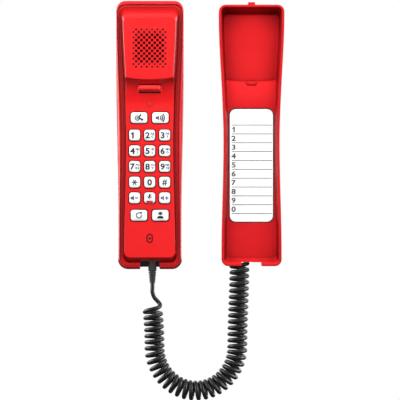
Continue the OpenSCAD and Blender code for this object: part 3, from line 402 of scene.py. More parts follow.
def coilLine(steps=160):  # the middle line of the curls: a leg, a half ellipse and a leg
    start, end = cord["coilStart"], cord["coilEnd"]
    (mx, mz), (rx, rz) = cord["bendMiddle"], cord["bendRadii"]
    flat = []
    for i in range(steps):
        t = 1 - i / steps
        flat.append((mix(mx - rx, start[0], t * t), mix(mz, start[2], t)))
    for i in range(3 * steps + 1):
        a = pi * i / (3 * steps)
        flat.append((mx - rx * cos(a), mz - rz * sin(a)))
    for i in range(1, steps + 1):
        t = i / steps
        flat.append((mix(mx + rx, end[0], ease(t)), mix(mz, end[2], t)))
    return np.array([(x, mix(start[1], end[1], (x - start[0]) / (end[0] - start[0])), z)
                     for x, z in flat])


def catmull(points, steps):  # smooth curve through all but the first and the last
    line = []
    for p0, p1, p2, p3 in zip(points, points[1:], points[2:], points[3:]):
        for i in range(steps):
            t = i / steps
            line.append(0.5 * (2 * p1 + (p2 - p0) * t + (2 * p0 - 5 * p1 + 4 * p2 - p3) * t * t
                               + (3 * p1 - p0 - 3 * p2 + p3) * t ** 3))
    return line


def cordRoute():
    middle = coilLine()
    along = np.gradient(middle, axis=0)
    along /= np.linalg.norm(along, axis=1)[:, None]
    run = np.concatenate([[0], np.cumsum(np.linalg.norm(np.diff(middle, axis=0), axis=1))])
    turns, rings, steps = cord["curls"], cord["rings"], cord["tailSteps"]

    def curl(turn):
        s = turn / turns * run[-1]
        centre, ahead = (np.array([np.interp(s, run, values[:, k]) for k in range(3)])
                         for values in (middle, along))
        across = np.cross((0, 1, 0), ahead)
        across /= np.linalg.norm(across)
        deep = np.cross(ahead / np.linalg.norm(ahead), across)
        a = 2 * pi * turn
        return centre + cord["curlRadius"] * (across * cos(a) + deep * sin(a))

    tip, plug = np.array(cord["bootTip"]), np.array(cord["plugEnd"])
    down = np.array((0, 0, cord["thick"]))
    coil = [curl(i / rings) for i in range(rings * turns + 1)]
    first = [tip, tip - down, *map(np.array, cord["handsetTail"]), coil[0], curl(1 / 8)]
    last = [curl(turns - 1 / 8), coil[-1], *map(np.array, cord["baseTail"]), plug - down, plug]
    return [tip, *catmull(first, steps), *coil, *catmull(last, steps)[1:], plug - down, plug]


def tube(name, route, radius, sides):
    points, faces = [], []
    ahead = [b - a for a, b in zip(route, route[1:])]
    ahead = [v / np.linalg.norm(v) for v in ahead]
    tangents = [ahead[0], *[(a + b) / np.linalg.norm(a + b) for a, b in zip(ahead, ahead[1:])],
                ahead[-1]]
    side = np.cross(tangents[0], (0, 1, 0))
    for centre, t in zip(route, tangents):  # the ring is carried on without twist
        side = side - t * side.dot(t)
        side /= np.linalg.norm(side)
        up = np.cross(t, side)
        for n in range(sides):
            a = 2 * pi * n / sides
            points.append((centre + radius * (side * cos(a) + up * sin(a))) / mm)
    for k in range(len(route) - 1):
        faces += belt(k * sides, (k + 1) * sides, sides)
    faces += [range(sides)[::-1], range(len(points) - sides, len(points))]
    return newPiece(name, points, faces)


route = cordRoute()
cordLength = sum(np.linalg.norm(b - a) for a, b in zip(route, route[1:]))
curlyCord = tube("curlyCord", route, cord["thick"] / 2, cord["sides"])
smooth(curlyCord, 50, even=False)
curlyCord.data.materials.append(blackCord)
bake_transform(curlyCord)
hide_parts("curly_cord")
print("cord laid,", round(float(cordLength), 3), "m")


# cradle, in millimetres; the two small blocks are from the places named beside them
cradle = {
    "height": 206.6, "topWidth": 51.8, "waistWidth": 44.2, "bottomWidth": 47.4, "depth": 26,
    "waistHeight": -5, "straightFoot": 4, "rim": 2.1, "rimRound": 0.55, "corner": 5.4,
    "pocket": 15, "pocketFrom": 15, "pocketFoot": 43.5, "ramp": 19.5, "smile": 1.5,
    "cardFloor": 8.5, "floorTo": 13, "floor": 1.8, "backEdge": 0.3,
    "leanSide": 2.8, "leanTop": 5.6, "leanBottom": 4.2,
    "nub": ((-2.8, 2.8), (1.2, 6), (-1, 2.1)),  # y from the rim, z from the top
    "tab": ((-3.75, 3.75), (10.4, 16), (-3, -0.2)),  # y from the rim, z from the pocket's foot
}
inside = {  # z spans are from the bottom, the ribs' from the top
    "lock": (14, -5.8), "bossX": (9.5, 18.5), "bossY": (-9.8, -2.3), "bossZ": (0.5, 4.6),
    "sink": 2.8, "sinkZ": (-1, 2.2), "bore": 1.4, "boreZ": (-1, 6.6),
    "ribX": (9, 17), "ribY": (-5.2, -3.4), "ribZ": (-6.8, -1),
    "posts": ((-2.4, -71), (-17.2, -29)), "post": 2.4, "postY": (-16.3, -5.2),
    "pilot": 0.9, "pilotY": (-10.2, -4.2),
    "notchX": (-8, 8), "notchZ": (-1, 3.2), "entryX": (-19.5, 0.5), "entryY": (-17.6, 1),
    "entryZ": (-1, 3.9), "bed": (36.2, 91.4, 5.8), "bedHeight": -23.5, "bedY": (-18.5, -16.5),
}
cradleTop = cradle["height"] / 2
rimY = -cradle["depth"]


def waisted(z, top, waist, bottom):  # half width by height, on the waist that both halves share
    low, run = cradle["waistHeight"], cradleTop - cradle["corner"]
    if z > low:
        return mix(waist, top, ease((z - low) / (run - low)))
    return mix(waist, bottom, ease((low - z) / (low + run - cradle["straightFoot"])))


def cradleHalf(z):
    return waisted(z, cradle["topWidth"] / 2, cradle["waistWidth"] / 2, cradle["bottomWidth"] / 2)


def outlineRows(half, top, bottom, radius, mids, steps=9):
    # half width, height, bow and depth of each row, from the top edge to the bottom edge
    turn = [(radius * (1 - sin(a)), radius * (1 - cos(a)))
            for a in (radians(90 * i / steps) for i in range(steps + 1))]
    rows = [(half(top - radius) - aside, top - down, 0, mids[0][2]) for aside, down in turn]
    rows += [(half(z), z, bow, depth) for z, bow, depth in mids]
    return rows + [(half(bottom + radius) - aside, bottom + up, 0, mids[-1][2])
                   for up, aside in turn]


def loft(name, stages, columns, shift=(0, 0)):
    # walls between the outlines of the stages, and a lid over the first and over the last
    count, last = len(stages[0][0]), len(stages) - 1
    size = 2 * (columns + 1) + 2 * (count - 2)
    points, faces = [], []

    def spot(row, u, level):
        half, z, bow, depth = row
        return (shift[0] + u * half, shift[1] + level(depth, z), z + bow * u * u)

    for rows, level in stages:
        points += [spot(rows[0], 2 * j / columns - 1, level) for j in range(columns + 1)]
        points += [spot(rows[i], 1, level) for i in range(1, count - 1)]
        points += [spot(rows[-1], 1 - 2 * j / columns, level) for j in range(columns + 1)]
        points += [spot(rows[i], -1, level) for i in range(count - 2, 0, -1)]
    for k in range(last):
        for n in range(size):
            a, b = k * size + n, k * size + (n + 1) % size
            faces.append((b, a, a + size, b + size))
    for k in (0, last):
        rows, level = stages[k]
        ring, corner, inner = np.arange(size) + k * size, columns + count - 1, len(points)
        points += [spot(rows[i], 2 * j / columns - 1, level)
                   for i in range(1, count - 1) for j in range(1, columns)]
        grid = np.zeros((count, columns + 1), int)
        grid[0], grid[-1, ::-1] = ring[:columns + 1], ring[corner:corner + columns + 1]
        grid[1:-1, -1], grid[:0:-1, 0] = ring[columns + 1:corner], ring[corner + columns:]
        grid[1:-1, 1:-1] = np.arange(inner, len(points)).reshape(count - 2, -1)
        faces += [tuple(map(int, (grid[i, j], grid[i, j + 1], grid[i + 1, j + 1], grid[i + 1, j])))
                  for i in range(count - 1) for j in range(columns)]
    return newPiece(name, points, faces)


def floorMids():  # the cradle's floor from top to bottom: pocket, ramp, card floor
    first, foot = cradleTop - cradle["pocketFrom"], cradle["pocketFoot"]
    ramp, drop = cradle["ramp"], cradle["pocket"] - cradle["cardFloor"]
    mids = [(mix(first, foot, t), cradle["smile"] * t, cradle["pocket"])
            for t in np.linspace(0, 1, 13)[:-1]]
    mids += [(foot - ramp * (1 - cos(a)), cradle["smile"] * cos(a),
              cradle["pocket"] - drop * sin(a)) for a in angles(0, 90, 19)]
    mids += [(mix(foot - ramp, cradle["floorTo"] - cradleTop, t), 0, cradle["cardFloor"])
             for t in np.linspace(0, 1, 21)[1:]]
    return mids


def makeCradleShell():
    mids = floorMids()
    rim, corner, r = cradle["rim"], cradle["corner"], cradle["rimRound"]

    def rows(side, top, bottom, radius):
        return outlineRows(lambda z: cradleHalf(z) - side, cradleTop - top, bottom - cradleTop,
                           radius, mids)

    def leaning(lean):
        return rows(rim + cradle["leanSide"] * lean, rim + cradle["leanTop"] * lean,
                    rim + cradle["leanBottom"] * lean, corner - rim)

    def inset(size):
        return rows(size, size, size, corner - min(size, rim))

    stages = []
    for a in angles(0, 90, 7):  # floor, rolled up into the wall
        stages.append((leaning(mix(1, 0.62, sin(a))),
                       lambda d, z, c=cos(a): rimY + d * (0.88 + 0.12 * c)))
    stages.append((leaning(0.3), lambda d, z: rimY + 0.42 * d))
    for a in angles(0, 90, 4):  # inner edge of the rim
        stages.append((inset(rim - r * (1 - cos(a))),
                       lambda d, z, s=sin(a): rimY + r * (1 - s)))
    for a in angles(0, 90, 5):  # outer edge of the rim
        stages.append((inset(r * (1 - sin(a))),
                       lambda d, z, c=cos(a): rimY + r * (1 - c)))
    stages += [(inset(0), lambda d, z: -cradle["backEdge"]),
               (inset(cradle["backEdge"]), lambda d, z: 0), (inset(rim), lambda d, z: 0),
               (inset(rim), lambda d, z: rimY + d + cradle["floor"])]
    return loft("cradleShell", stages, 16)


def makeCradle():
    shell = makeCradleShell()

    def fromBottom(name):
        return [z - cradleTop for z in inside[name]]

    ribZ = [cradleTop + z for z in inside["ribZ"]]
    left, right = inside["ribX"]
    carve(shell, "UNION",
          box("boss", inside["bossX"], inside["bossY"], fromBottom("bossZ")),
          box("rib", (-right, -left), inside["ribY"], ribZ),
          box("rib", (left, right), inside["ribY"], ribZ),
          *[prisms("post", [diskOutline(inside["post"], x, z, 32)], *inside["postY"])
            for x, z in inside["posts"]])
    carve(shell, "DIFFERENCE",
          box("notch", inside["notchX"], (rimY - 1, 1), fromBottom("notchZ")),
          box("entry", inside["entryX"], inside["entryY"], fromBottom("entryZ")),
          prisms("cardBed", [roundedOutline(*inside["bed"], 0, inside["bedHeight"], 10)],
                 *inside["bedY"]),
          prisms("pilots", [diskOutline(inside["pilot"], x, z) for x, z in inside["posts"]],
                 *inside["pilotY"]),
          upright("sink", inside["sink"], inside["lock"], fromBottom("sinkZ")),
          upright("bore", inside["bore"], inside["lock"], fromBottom("boreZ")))
    smooth(shell)
    dress(shell, "base", "red_housing", redCradleShaded, "base_shell")
    for name, (x, y, z), height in (("cradleNub", cradle["nub"], cradleTop),
                                    ("hangingTab", cradle["tab"], cradle["pocketFoot"])):
        small = box(name, x, [rimY + c for c in y], [height + c for c in z])
        smooth(settle(soften(small, 0.45, 3)))
        dress(small, "base", "red_housing", redCradleShaded)


makeCradle()
print("cradle made")


# handset, in millimetres about its own middle line; y 0 is the lip's plane, y grows to the back
handset = {
    "top": 107.7, "bottom": 106.1, "topWidth": 54.6, "bottomWidth": 51, "depth": 18,
    "taperFrom": -75, "taperRun": 130, "x": 80.6, "wallGap": 1, "wall": 2, "corner": 8,
    "padRise": 11.5, "faceRise": 4.5, "padFrom": 17.5, "padRoll": 1.3, "footGap": 0.3,
    "faceTo": 14.5,
    "ledge": 1.7, "ledgeCorner": 6.2, "ledgeDrop": 3.2, "ledgeEase": 0.3, "waistEase": 0.9,
    "bulge": 7, "backRound": 9, "backBow": 2.6, "backMids": 11,
    "flange": 1.1, "rim": -0.3, "lip": 0.3, "seam": 0.22, "fit": 0.4,
    "grooveWidth": 1, "grooveDepth": 0.6, "cove": 21.7,
    "padSlope": 2.8, "faceSlope": 1.2, "topSlope": 8.4, "bottomSlope": 4.6,
    "posts": ((-14, 86), (14, 86), (-14, -90), (14, -90)), "post": 2.9, "postEnd": 3.5,
    "bore": 1.35, "sink": 2.7, "sinkDepth": 4.5,
    "cordX": 1.9, "cordY": 6.8, "notch": 15.4, "notchReach": 5.2, "notchRise": (6, 4),
}
handsetX, lipY = -handset["x"], -handset["wallGap"] - handset["depth"]
ledgeTop = handset["top"] - handset["ledgeDrop"]
ledgeBottom = -cradleTop - handset["ledgeEase"]
flangeBack = handset["ledge"] + handset["flange"]
padFoot = cradle["pocketFoot"] - handset["footGap"]
padY, faceY = -handset["padRise"], -handset["faceRise"]


def handsetHalf(z):
    share = ease((z - handset["taperFrom"]) / handset["taperRun"])
    return mix(handset["bottomWidth"], handset["topWidth"], share) / 2


def ledgeHalf(z):
    return handset["ledgeEase"] + waisted(z, cradle["topWidth"] / 2, cradle["waistWidth"] / 2
                                          + handset["waistEase"], cradle["bottomWidth"] / 2)


def ledgeRows(mids, grow):  # the step inside the lip, on which the front half sits
    return outlineRows(lambda z: ledgeHalf(z) + grow, ledgeTop + grow, ledgeBottom - grow,
                       handset["ledgeCorner"] + max(0, grow), mids)


def bow(z):
    return handset["backBow"] * (z / handset["top"]) ** 2


def handsetPrisms(name, outlines, near, far):  # set beside the cradle
    return prisms(name, [[(x + handsetX, z) for x, z in o] for o in outlines], near + lipY,
                  far + lipY)


def disks(name, radius, places, near, far, sides=32):
    return handsetPrisms(name, [diskOutline(radius, x, z, sides) for x, z in places], near, far)


def cordNotch(low, high, far):
    half = handset["notch"] / 2
    return handsetPrisms("notch", [boxOutline((-half, half), (low, high))], -1, far)


def makeHandsetBack():
    top, bottom, deep, bulge = (handset[size] for size in ("top", "bottom", "depth", "bulge"))
    mids = [(z, 0, 0) for z in np.linspace(top - handset["backMids"],
                                           handset["backMids"] - bottom, 37)]

    def shellRows(inset):
        return outlineRows(lambda z: handsetHalf(z) - inset, top - inset, inset - bottom,
                           max(2.5, handset["corner"] - 0.4 * inset), mids)

    rim, outside = handset["rim"], shellRows(0)
    lip = ledgeRows(mids, rim + handset["lip"])
    stages = []
    for a in angles(90, 0, 13):  # the back, rolled over into the sides
        stages.append((shellRows(handset["backRound"] * (1 - cos(a))),
                       lambda d, z, s=sin(a): bulge + (deep - bulge - bow(z)) * s))
    for a in angles(82, 4, 12):  # the sides, drawn in to the lip
        rows = [tuple(mix(p, q, sin(a)) for p, q in zip(m, n)) for m, n in zip(lip, outside)]
        stages.append((rows, lambda d, z, c=cos(a): bulge * (1 - c)))
    inner = deep - handset["wall"]
    stages += [(ledgeRows(mids, grow), level) for grow, level in (
        (rim + 0.2, lambda d, z: 0),  # the lip's inner edge
        (rim, lambda d, z: 0.18),
        (rim, lambda d, z: flangeBack),
        (-1.2, lambda d, z: flangeBack),  # the seat of the front half
        (-1.4, lambda d, z: bulge),
        (-3, lambda d, z: bulge + 0.75 * (inner - bulge - bow(z))),
        (-7, lambda d, z: inner - bow(z)))]
    shell = loft("handsetBack", stages, 4, (handsetX, lipY))
    posts, end = handset["posts"], handset["postEnd"]
    carve(shell, "UNION", *[disks("post", handset["post"], [(x, z)], end, deep - bow(z) - 1)
                            for x, z in posts])
    carve(shell, "DIFFERENCE",
          disks("bores", handset["bore"], posts, end - 1, deep + 1, 24),
          *[disks("sink", handset["sink"], [(x, z)], deep - bow(z) - handset["sinkDepth"],
                  deep + 1) for x, z in posts],
          cordNotch(-bottom - 1, ledgeBottom + handset["notchRise"][0],
                    handset["cordY"] + handset["notchReach"]))
    smooth(shell)
    dress(shell, "handset", "red_housing", redGloss, "handset_back")


def frontMids():  # the raised block from top to bottom: pad, rolled edge, cove, keypad face
    foot, cove, smile = padFoot, handset["cove"], cradle["smile"]
    drop, edge = faceY - padY, handset["padRoll"]
    mids = [(mix(cradleTop - handset["padFrom"], foot + edge, t), smile * t, padY)
            for t in np.linspace(0, 1, 13)]
    mids += [(foot + edge * (1 - sin(a)), smile, padY + edge * (1 - cos(a)))
             for a in angles(15, 75, 5)]
    mids += [(foot - cove * (1 - cos(a)), smile * cos(a), padY + drop * sin(a))
             for a in np.linspace(asin(edge / drop), pi / 2, 20)]
    mids += [(mix(foot - cove, handset["faceTo"] - cradleTop, t), 0, faceY)
             for t in np.linspace(0, 1, 19)[1:]]
    return mids


# share of the sloping side left at each share of its height, from the edge roll down
sideCurve = ((1, 0), (0.97, 0.004), (0.93, 0.017), (0.885, 0.045), (0.83, 0.09), (0.74, 0.18),
             (0.61, 0.31), (0.46, 0.46), (0.3, 0.63), (0.13, 0.82), (0, 1))
keys = {"width": 8.6, "height": 8.6, "wideWidth": 13, "pitchX": 11.9, "pitchZ": 12.4,
        "widePitch": 16.9, "firstRow": 0.2, "wideStep": 13.8, "corner": 2.1, "roll": 0.5,
        "gap": 0.8, "proud": 1.3, "under": 0.3, "skirt": 0.8, "flange": 1.2, "crown": 34,
        "paintedShadeTo": -4.55, "lightHalf": 2.5, "lightRise": 2.2}
grille = {"z": 68.6, "pitch": 4.2, "hole": 2.1, "cut": 2.4, "field": 11.5, "speaker": 14.5,
          "blind": 2.3, "blindDepth": 1.5, "dimple": 1.75, "dimpleDepth": 1.4,
          "reach": (12.8, 15)}
hook = {"z": 37, "width": 17, "height": 5.2, "gapX": 1.4, "gapZ": 1, "corner": 2.6,
        "top": -10.4, "low": -1.9, "round": 3, "guide": 1.2, "guideEnd": -3.2, "ear": 1.2}
mouth = {"z": -81.4, "width": 5.4, "height": 7.8, "groove": 1.2, "depth": 1.5, "hole": 1.8}
ringLight = {"z": 25, "hole": 2.6}


def keyPlaces():
    digits = [(x * keys["pitchX"], keys["firstRow"] - row * keys["pitchZ"])
              for row in range(5) for x in (-1, 0, 1)]
    low = keys["firstRow"] - 4 * keys["pitchZ"] - keys["wideStep"]
    wide = [(x * keys["widePitch"] / 2, z)
            for z in (keys["firstRow"] + keys["wideStep"], low) for x in (-1, 1)]
    return digits, wide


def grillePlaces():  # staggered: open over the speaker, blind round them, shallow at the edge
    pitch, field, (reachX, reachZ) = grille["pitch"], grille["field"], grille["reach"]
    through, blind, dimples = [], [], []
    for k in range(-7, 8):
        for i in range(-7, 8):
            x, z = (i + (abs(k) % 2) / 2) * pitch, k * pitch / 2
            spot = (x, z + grille["z"])
            over = hypot(x, z) + grille["hole"] / 2 < grille["speaker"]
            if max(abs(x), abs(z)) < field and over:
                through.append(spot)
            elif abs(x) < field and -field < z < field + 2:
                blind.append(spot)
            elif abs(x) < reachX and abs(z) < reachZ:
                dimples.append(spot)
    return through, blind, dimples


def hookOutline(grow):
    return roundedOutline(hook["width"] + 2 * hook["gapX"] + 2 * grow,
                          hook["height"] + 2 * hook["gapZ"] + 2 * grow, hook["corner"] + grow, 0,
                          hook["z"], 8)


def makeMouthGroove():
    def oval(inset):
        return roundedOutline(mouth["width"] - 2 * inset, mouth["height"] - 2 * inset,
                              mouth["width"] / 2 - inset - 0.01, 0, mouth["z"], 10)

    island = handsetPrisms("island", [oval(mouth["groove"])], faceY - 2, faceY + 2)
    return carve(handsetPrisms("groove", [oval(0)], faceY - 1, faceY + mouth["depth"]),
                 "DIFFERENCE", island)


def makeHandsetFront():
    mids, cove = frontMids(), handset["cove"]
    rim, fit = cradle["rim"], handset["fit"]

    def slopeAt(z):
        return mix(handset["faceSlope"], handset["padSlope"], ease((z - padFoot + cove) / cove))

    def sloped(t, extra):  # the block's outline, t of the way in from its foot to its top
        return outlineRows(lambda z: cradleHalf(z) - rim - fit - slopeAt(z) * t - extra,
                           cradleTop - rim - fit - handset["topSlope"] * t - extra,
                           rim + fit - cradleTop + handset["bottomSlope"] * t + extra,
                           5 - 0.8 * t - 0.5 * extra, mids)

    ledge, wall = handset["ledge"], handset["wall"]
    groove = ledge + handset["grooveDepth"]
    out, seam = -handset["grooveWidth"], handset["rim"] - handset["seam"]
    stages = [(sloped(t, 0), lambda d, z, s=s: mix(d, groove, s)) for t, s in sideCurve]
    stages += [
        (sloped(0, out), lambda d, z: groove),  # groove round the block
        (sloped(0, out - 0.05), lambda d, z: ledge + 0.12),
        (sloped(0, out - 0.17), lambda d, z: ledge),  # flange in the seat
        (ledgeRows(mids, seam), lambda d, z: ledge),
        (ledgeRows(mids, seam), lambda d, z: flangeBack),
        (sloped(0, wall), lambda d, z: flangeBack),  # inside of the block
        (sloped(1, 0.7), lambda d, z: d + wall),
    ]
    shell = loft("handsetFront", stages, 16, (handsetX, lipY))
    guide = carve(handsetPrisms("hookGuide", [hookOutline(hook["guide"])], padY,
                                hook["guideEnd"]), "INTERSECT",
                  loft("guideRoom", [(sloped(1, 0), lambda d, z: d + 0.6),
                                     (sloped(1, 0), lambda d, z: 0)], 16, (handsetX, lipY)))
    carve(shell, "UNION", guide,
          *[disks("post", handset["post"], [(x, z)], (padY if z > 0 else faceY) + 1,
                  handset["postEnd"]) for x, z in handset["posts"]])

    digits, wide = keyPlaces()
    gap = 2 * keys["gap"]
    openings = [roundedOutline(width + gap, keys["height"] + gap, keys["corner"] + keys["gap"],
                               x, z)
                for width, places in ((keys["width"], digits), (keys["wideWidth"], wide))
                for x, z in places]

    through, blind, dimples = grillePlaces()
    carve(shell, "DIFFERENCE",
          handsetPrisms("keyOpenings", openings, faceY - 1, faceY + wall + 1),
          disks("grille", grille["cut"] / 2, through, padY - 1, padY + wall + 1, 20),
          disks("blindHoles", grille["blind"] / 2, blind, padY - 1,
                padY + grille["blindDepth"], 16),
          disks("dimples", grille["dimple"] / 2, dimples, padY - 1,
                padY + grille["dimpleDepth"], 16),
          makeMouthGroove(),
          disks("lensHole", ringLight["hole"], [(0, ringLight["z"])], padY, 0),
          disks("mouthHole", mouth["hole"] / 2, [(0, mouth["z"])], faceY - 1,
                faceY + wall + 1, 24),
          handsetPrisms("hookSlot", [hookOutline(0)], padY - 1, 0),
          cordNotch(ledgeBottom - 1, ledgeBottom + handset["notchRise"][1], flangeBack + 1))
    smooth(shell)
    dress(shell, "handset", "red_housing", redGloss, "handset_front")


def makeHookBar():
    half, crown = hook["height"] / 2, hook["round"]
    profile = [(z, hook["top"] + crown - sqrt(crown ** 2 - z * z))
               for z in np.linspace(-1, 1, 13) * half]
    profile += [(half, hook["low"]), (-half, hook["low"])]
    count = len(profile)
    points = [(x + handsetX, y + lipY, z + hook["z"])
              for x in (-hook["width"] / 2, hook["width"] / 2) for z, y in profile]
    bar = newPiece("hookBar", points, [range(count), range(2 * count - 1, count - 1, -1),
                                       *belt(0, count, count)])
    smooth(settle(soften(bar, 0.5, 3, 30)))
    dress(bar, "hook_bar", "red_bar", redBar, "hook_bar")
    reach = hook["width"] / 2 + hook["gapX"] + hook["ear"]
    ears = handsetPrisms("hookEars", [boxOutline((-reach, reach), (hook["z"] - half,
                                                                   hook["z"] + half))],
                         hook["low"] - 1, hook["low"])
    smooth(settle(soften(ears, 0.2)))
    dress(ears, "hook_bar", "red_bar", redBar)


makeHandsetBack()
makeHandsetFront()
makeHookBar()
print("handset shells made")


def crownAt(x, z):  # how far the crowned top of a key lies behind its highest point
    return keys["crown"] - sqrt(keys["crown"] ** 2 - x * x - z * z)


keyTop = faceY - keys["proud"]


def makeKey(node, centre, width):
    under = faceY + handset["wall"] + keys["under"]
    roll, height, corner = (keys[size] for size in ("roll", "height", "corner"))

    def outline(inset):
        return roundedOutline(width - 2 * inset, height - 2 * inset, corner - inset)

    rings = [[(x, y, z) for x, z in outline(0)] for y in (under, keys["paintedShadeTo"])]
    for a in angles(0, 90, 6):  # rolled edge
        rings.append([(x, keyTop + crownAt(x, z) + roll * (1 - sin(a)), z)
                      for x, z in outline(roll * (1 - cos(a)))])
    for share in (0.78, 0.5, 0.2):
        rings.append([(x, keyTop + crownAt(x, z), z)
                      for x, z in ((x * share, z * share) for x, z in outline(roll))])
    size, last = len(rings[0]), len(rings) - 1
    faces = [face for k in range(last) for face in belt(k * size, (k + 1) * size, size)]
    faces += [(last * size + n, last * size + (n + 1) % size, (last + 1) * size)
              for n in range(size)]
    faces.append(range(size))
    points = [(x + centre[0] + handsetX, y + lipY, z + centre[1])
              for x, y, z in [*(p for ring in rings for p in ring), (0, keyTop, 0)]]
    name = node.replace("key_", "key")
    key = newPiece(name + "Cap", points, faces)
    grown = 2 * keys["flange"]
    skirt = handsetPrisms(name + "Skirt", [roundedOutline(width + grown, height + grown, corner,
                                                          *centre)], under,
                          under + keys["skirt"])
    if node == "key_mute":  # room for the light at its lower edge
        low, half = centre[1] - height / 2, keys["lightHalf"]
        for part in (key, skirt):
            carve(part, "DIFFERENCE", handsetPrisms("lightRoom", [boxOutline(
                (-half, half), (low - 2, low + keys["lightRise"]))], keyTop - 1, 4))
    smooth(key)
    dress(key, node, "white_key", whiteKey, node)
    key.data.materials.append(shadeDarkRed)
    # below the keypad's face the cap's sides are painted dark red: painted shade in the gap round
    # the key
    level = (keys["paintedShadeTo"] + lipY - 0.01) * mm
    for face in key.data.polygons:  # below the keypad's face the cap is dark
        face.material_index = int(min(key.data.vertices[v].co.y for v in face.vertices) > level)
    smooth(settle(soften(skirt, 0.15)))
    # the skirt takes the dark red: painted shade deep in the gap round the key
    dress(skirt, node, "grey_rubber", shadeDarkRed)


def band(x, z, radius, thick, start, end, steps=10):  # arc, angles in degrees from +X
    ring = []
    for r in (radius + thick / 2, radius - thick / 2):
        arc = [(x + r * cos(a), z + r * sin(a))
               for a in angles(start, end, steps + 1)]
        ring += arc if r > radius else arc[::-1]
    return ring


def stroke(x0, z0, x1, z1, thick):
    length = hypot(x1 - x0, z1 - z0)
    dx, dz = (x1 - x0) / length * thick / 2, (z1 - z0) / length * thick / 2
    return [(x0 - dz, z0 + dx), (x0 + dz, z0 - dx), (x1 + dz, z1 - dx), (x1 - dz, z1 + dx)]


def speakerSign(x):
    return [boxOutline((x - 1.6, x - 0.5), (-0.95, 0.95)),
            [(x - 0.35, -1), (x + 0.9, -2), (x + 0.9, 2), (x - 0.35, 1)]]


signs = {
    "key_1": [[(-0.65, -2.5), (-1.9, -2.5), (-1.9, 0.9), (-2.9, 0.4), (-2.9, 1.4),
               (-1.6, 2.5), (-0.65, 2.5)]],
    "key_star": [stroke(-r * cos(a), -r * sin(a), r * cos(a), r * sin(a),
                        0.8) for a, r in ((0, 2.5), (pi / 3, 2.4), (2 * pi / 3, 2.4))],
    "key_hash": [stroke(-1.2, -2.45, -0.4, 2.45, 0.8), stroke(0.4, -2.45, 1.2, 2.45, 0.8),
                 stroke(-1.9, -0.85, 1.7, -0.85, 0.7), stroke(-1.7, 0.85, 1.9, 0.85, 0.7)],
    "key_speaker": speakerSign(-2) + [band(-2, 0, r, 1, -38, 38) for r in (2.3, 3.7, 5.1)],
    "key_volume_down": speakerSign(-1.5) + [stroke(0.4, 0, 2.8, 0, 0.8)],
    "key_volume_up": speakerSign(-1.5) + [stroke(0.3, 0, 3, 0, 0.8),
                                          stroke(1.65, -1.35, 1.65, 1.35, 0.8)],
    "key_mute": [roundedOutline(1.4, 2.7, 0.69, 0, 1.7, 5), band(0, 1.4, 1.5, 0.55, 180, 360),
                 stroke(0, 0, 0, -1, 0.55), stroke(-1.6, -0.1, 1.6, 3.1, 0.5)],
    "key_line": [band(-1.3, -0.2, 1.7, 0.75, 20, 340, 20), diskOutline(0.7, -1.3, -0.2),
                 stroke(-0.3, -0.5, 1.2, 2.6, 1), stroke(0.1, -0.1, 3.1, -1.8, 1.2),
                 diskOutline(0.85, 1.15, 2.05), diskOutline(0.8, 2.7, -1.5)],
    "key_redial": [band(0, 0, 2.05, 0.8, 78, 372, 26), [(0.4, 2.9), (2.8, 2.6), (1.5, 0.6)]],
    "key_service": [diskOutline(1.15, 0, 1.35, 20), band(0, 1.4, 1.5, 0.5, -20, 200),
                    roundedOutline(0.6, 1.1, 0.28, -1.5, 1.2, 4),
                    roundedOutline(0.6, 1.1, 0.28, 1.5, 1.2, 4),
                    [(-2.65, -2.45), (2.65, -2.45), (2.3, -1.05), (1.0, -0.3), (-1.0, -0.3),
                     (-2.3, -1.05)]],
}
prints = {"figure": 5, "wide": 1.1, "weight": 0.037, "proud": 0.03, "sunk": 0.15,
          "aside": -1.65, "strip": 0.7, "letter": 1.8, "letterX": (1.5, 3.0),
          "letterZ": (1.3, -1.1), "letterWeight": 0.06}
letters = {"2": ("AB", "C"), "3": ("DE", "F"), "4": ("GH", "I"), "5": ("JK", "L"),
           "6": ("MN", "O"), "7": ("PQ", "RS"), "8": ("TU", "V"), "9": ("WX", "YZ")}


def figure(text, height, weight, wide=1.0):  # a plain figure as a flat shape about its middle
    curve = bpy.data.curves.new("figure", "FONT")
    curve.body = text
    curve.offset = weight
    curve.fill_mode = "BOTH"
    curve.extrude = 0.05
    curve.resolution_u = 5
    holder = addToScene("figure", curve)
    ready = holder.evaluated_get(bpy.context.evaluated_depsgraph_get())
    mesh = bpy.data.meshes.new_from_object(ready)
    bpy.data.objects.remove(holder)
    spots = np.array([v.co[:] for v in mesh.vertices])
    low, high = spots.min(0), spots.max(0)
    scale = height / (high[1] - low[1])
    flat = [((x - (low[0] + high[0]) / 2) * scale * wide, (z - (low[1] + high[1]) / 2) * scale,
             d > 0) for x, z, d in spots]
    return flat, [list(p.vertices) for p in mesh.polygons]


def joined(marks):  # flat shapes, each set at its place, as one
    flat, faces = [], []
    for (spots, shape), (dx, dz) in marks:
        start = len(flat)
        flat += [(x + dx, z + dz, front) for x, z, front in spots]
        faces += [[start + i for i in face] for face in shape]
    return flat, faces


def printOnKey(name, node, centre, marks, material):
    # marks are cut into narrow strips, so that they follow the crown of the key
    sign = raised(name, joined(marks), 0, 1)
    work = bmesh.new()
    work.from_mesh(sign.data)
    bmesh.ops.triangulate(work, faces=work.faces)
    for axis in ((1, 0, 0), (0, 0, 1)):
        for cut in np.arange(-6, 6.1, prints["strip"]):
            bmesh.ops.bisect_plane(work, geom=[*work.verts, *work.edges, *work.faces],
                                   plane_co=[c * cut * mm for c in axis], plane_no=axis)
    for vert in work.verts:
        x, z = vert.co.x / mm, vert.co.z / mm
        lift = -prints["proud"] if vert.co.y < 0.5 * mm else prints["sunk"]
        vert.co = ((x + centre[0] + handsetX) * mm,
                   (keyTop + crownAt(x, z) + lift + lipY) * mm, (z + centre[1]) * mm)
    work.to_mesh(sign.data)
    work.free()
    dress(sign, node, "white_key", material)


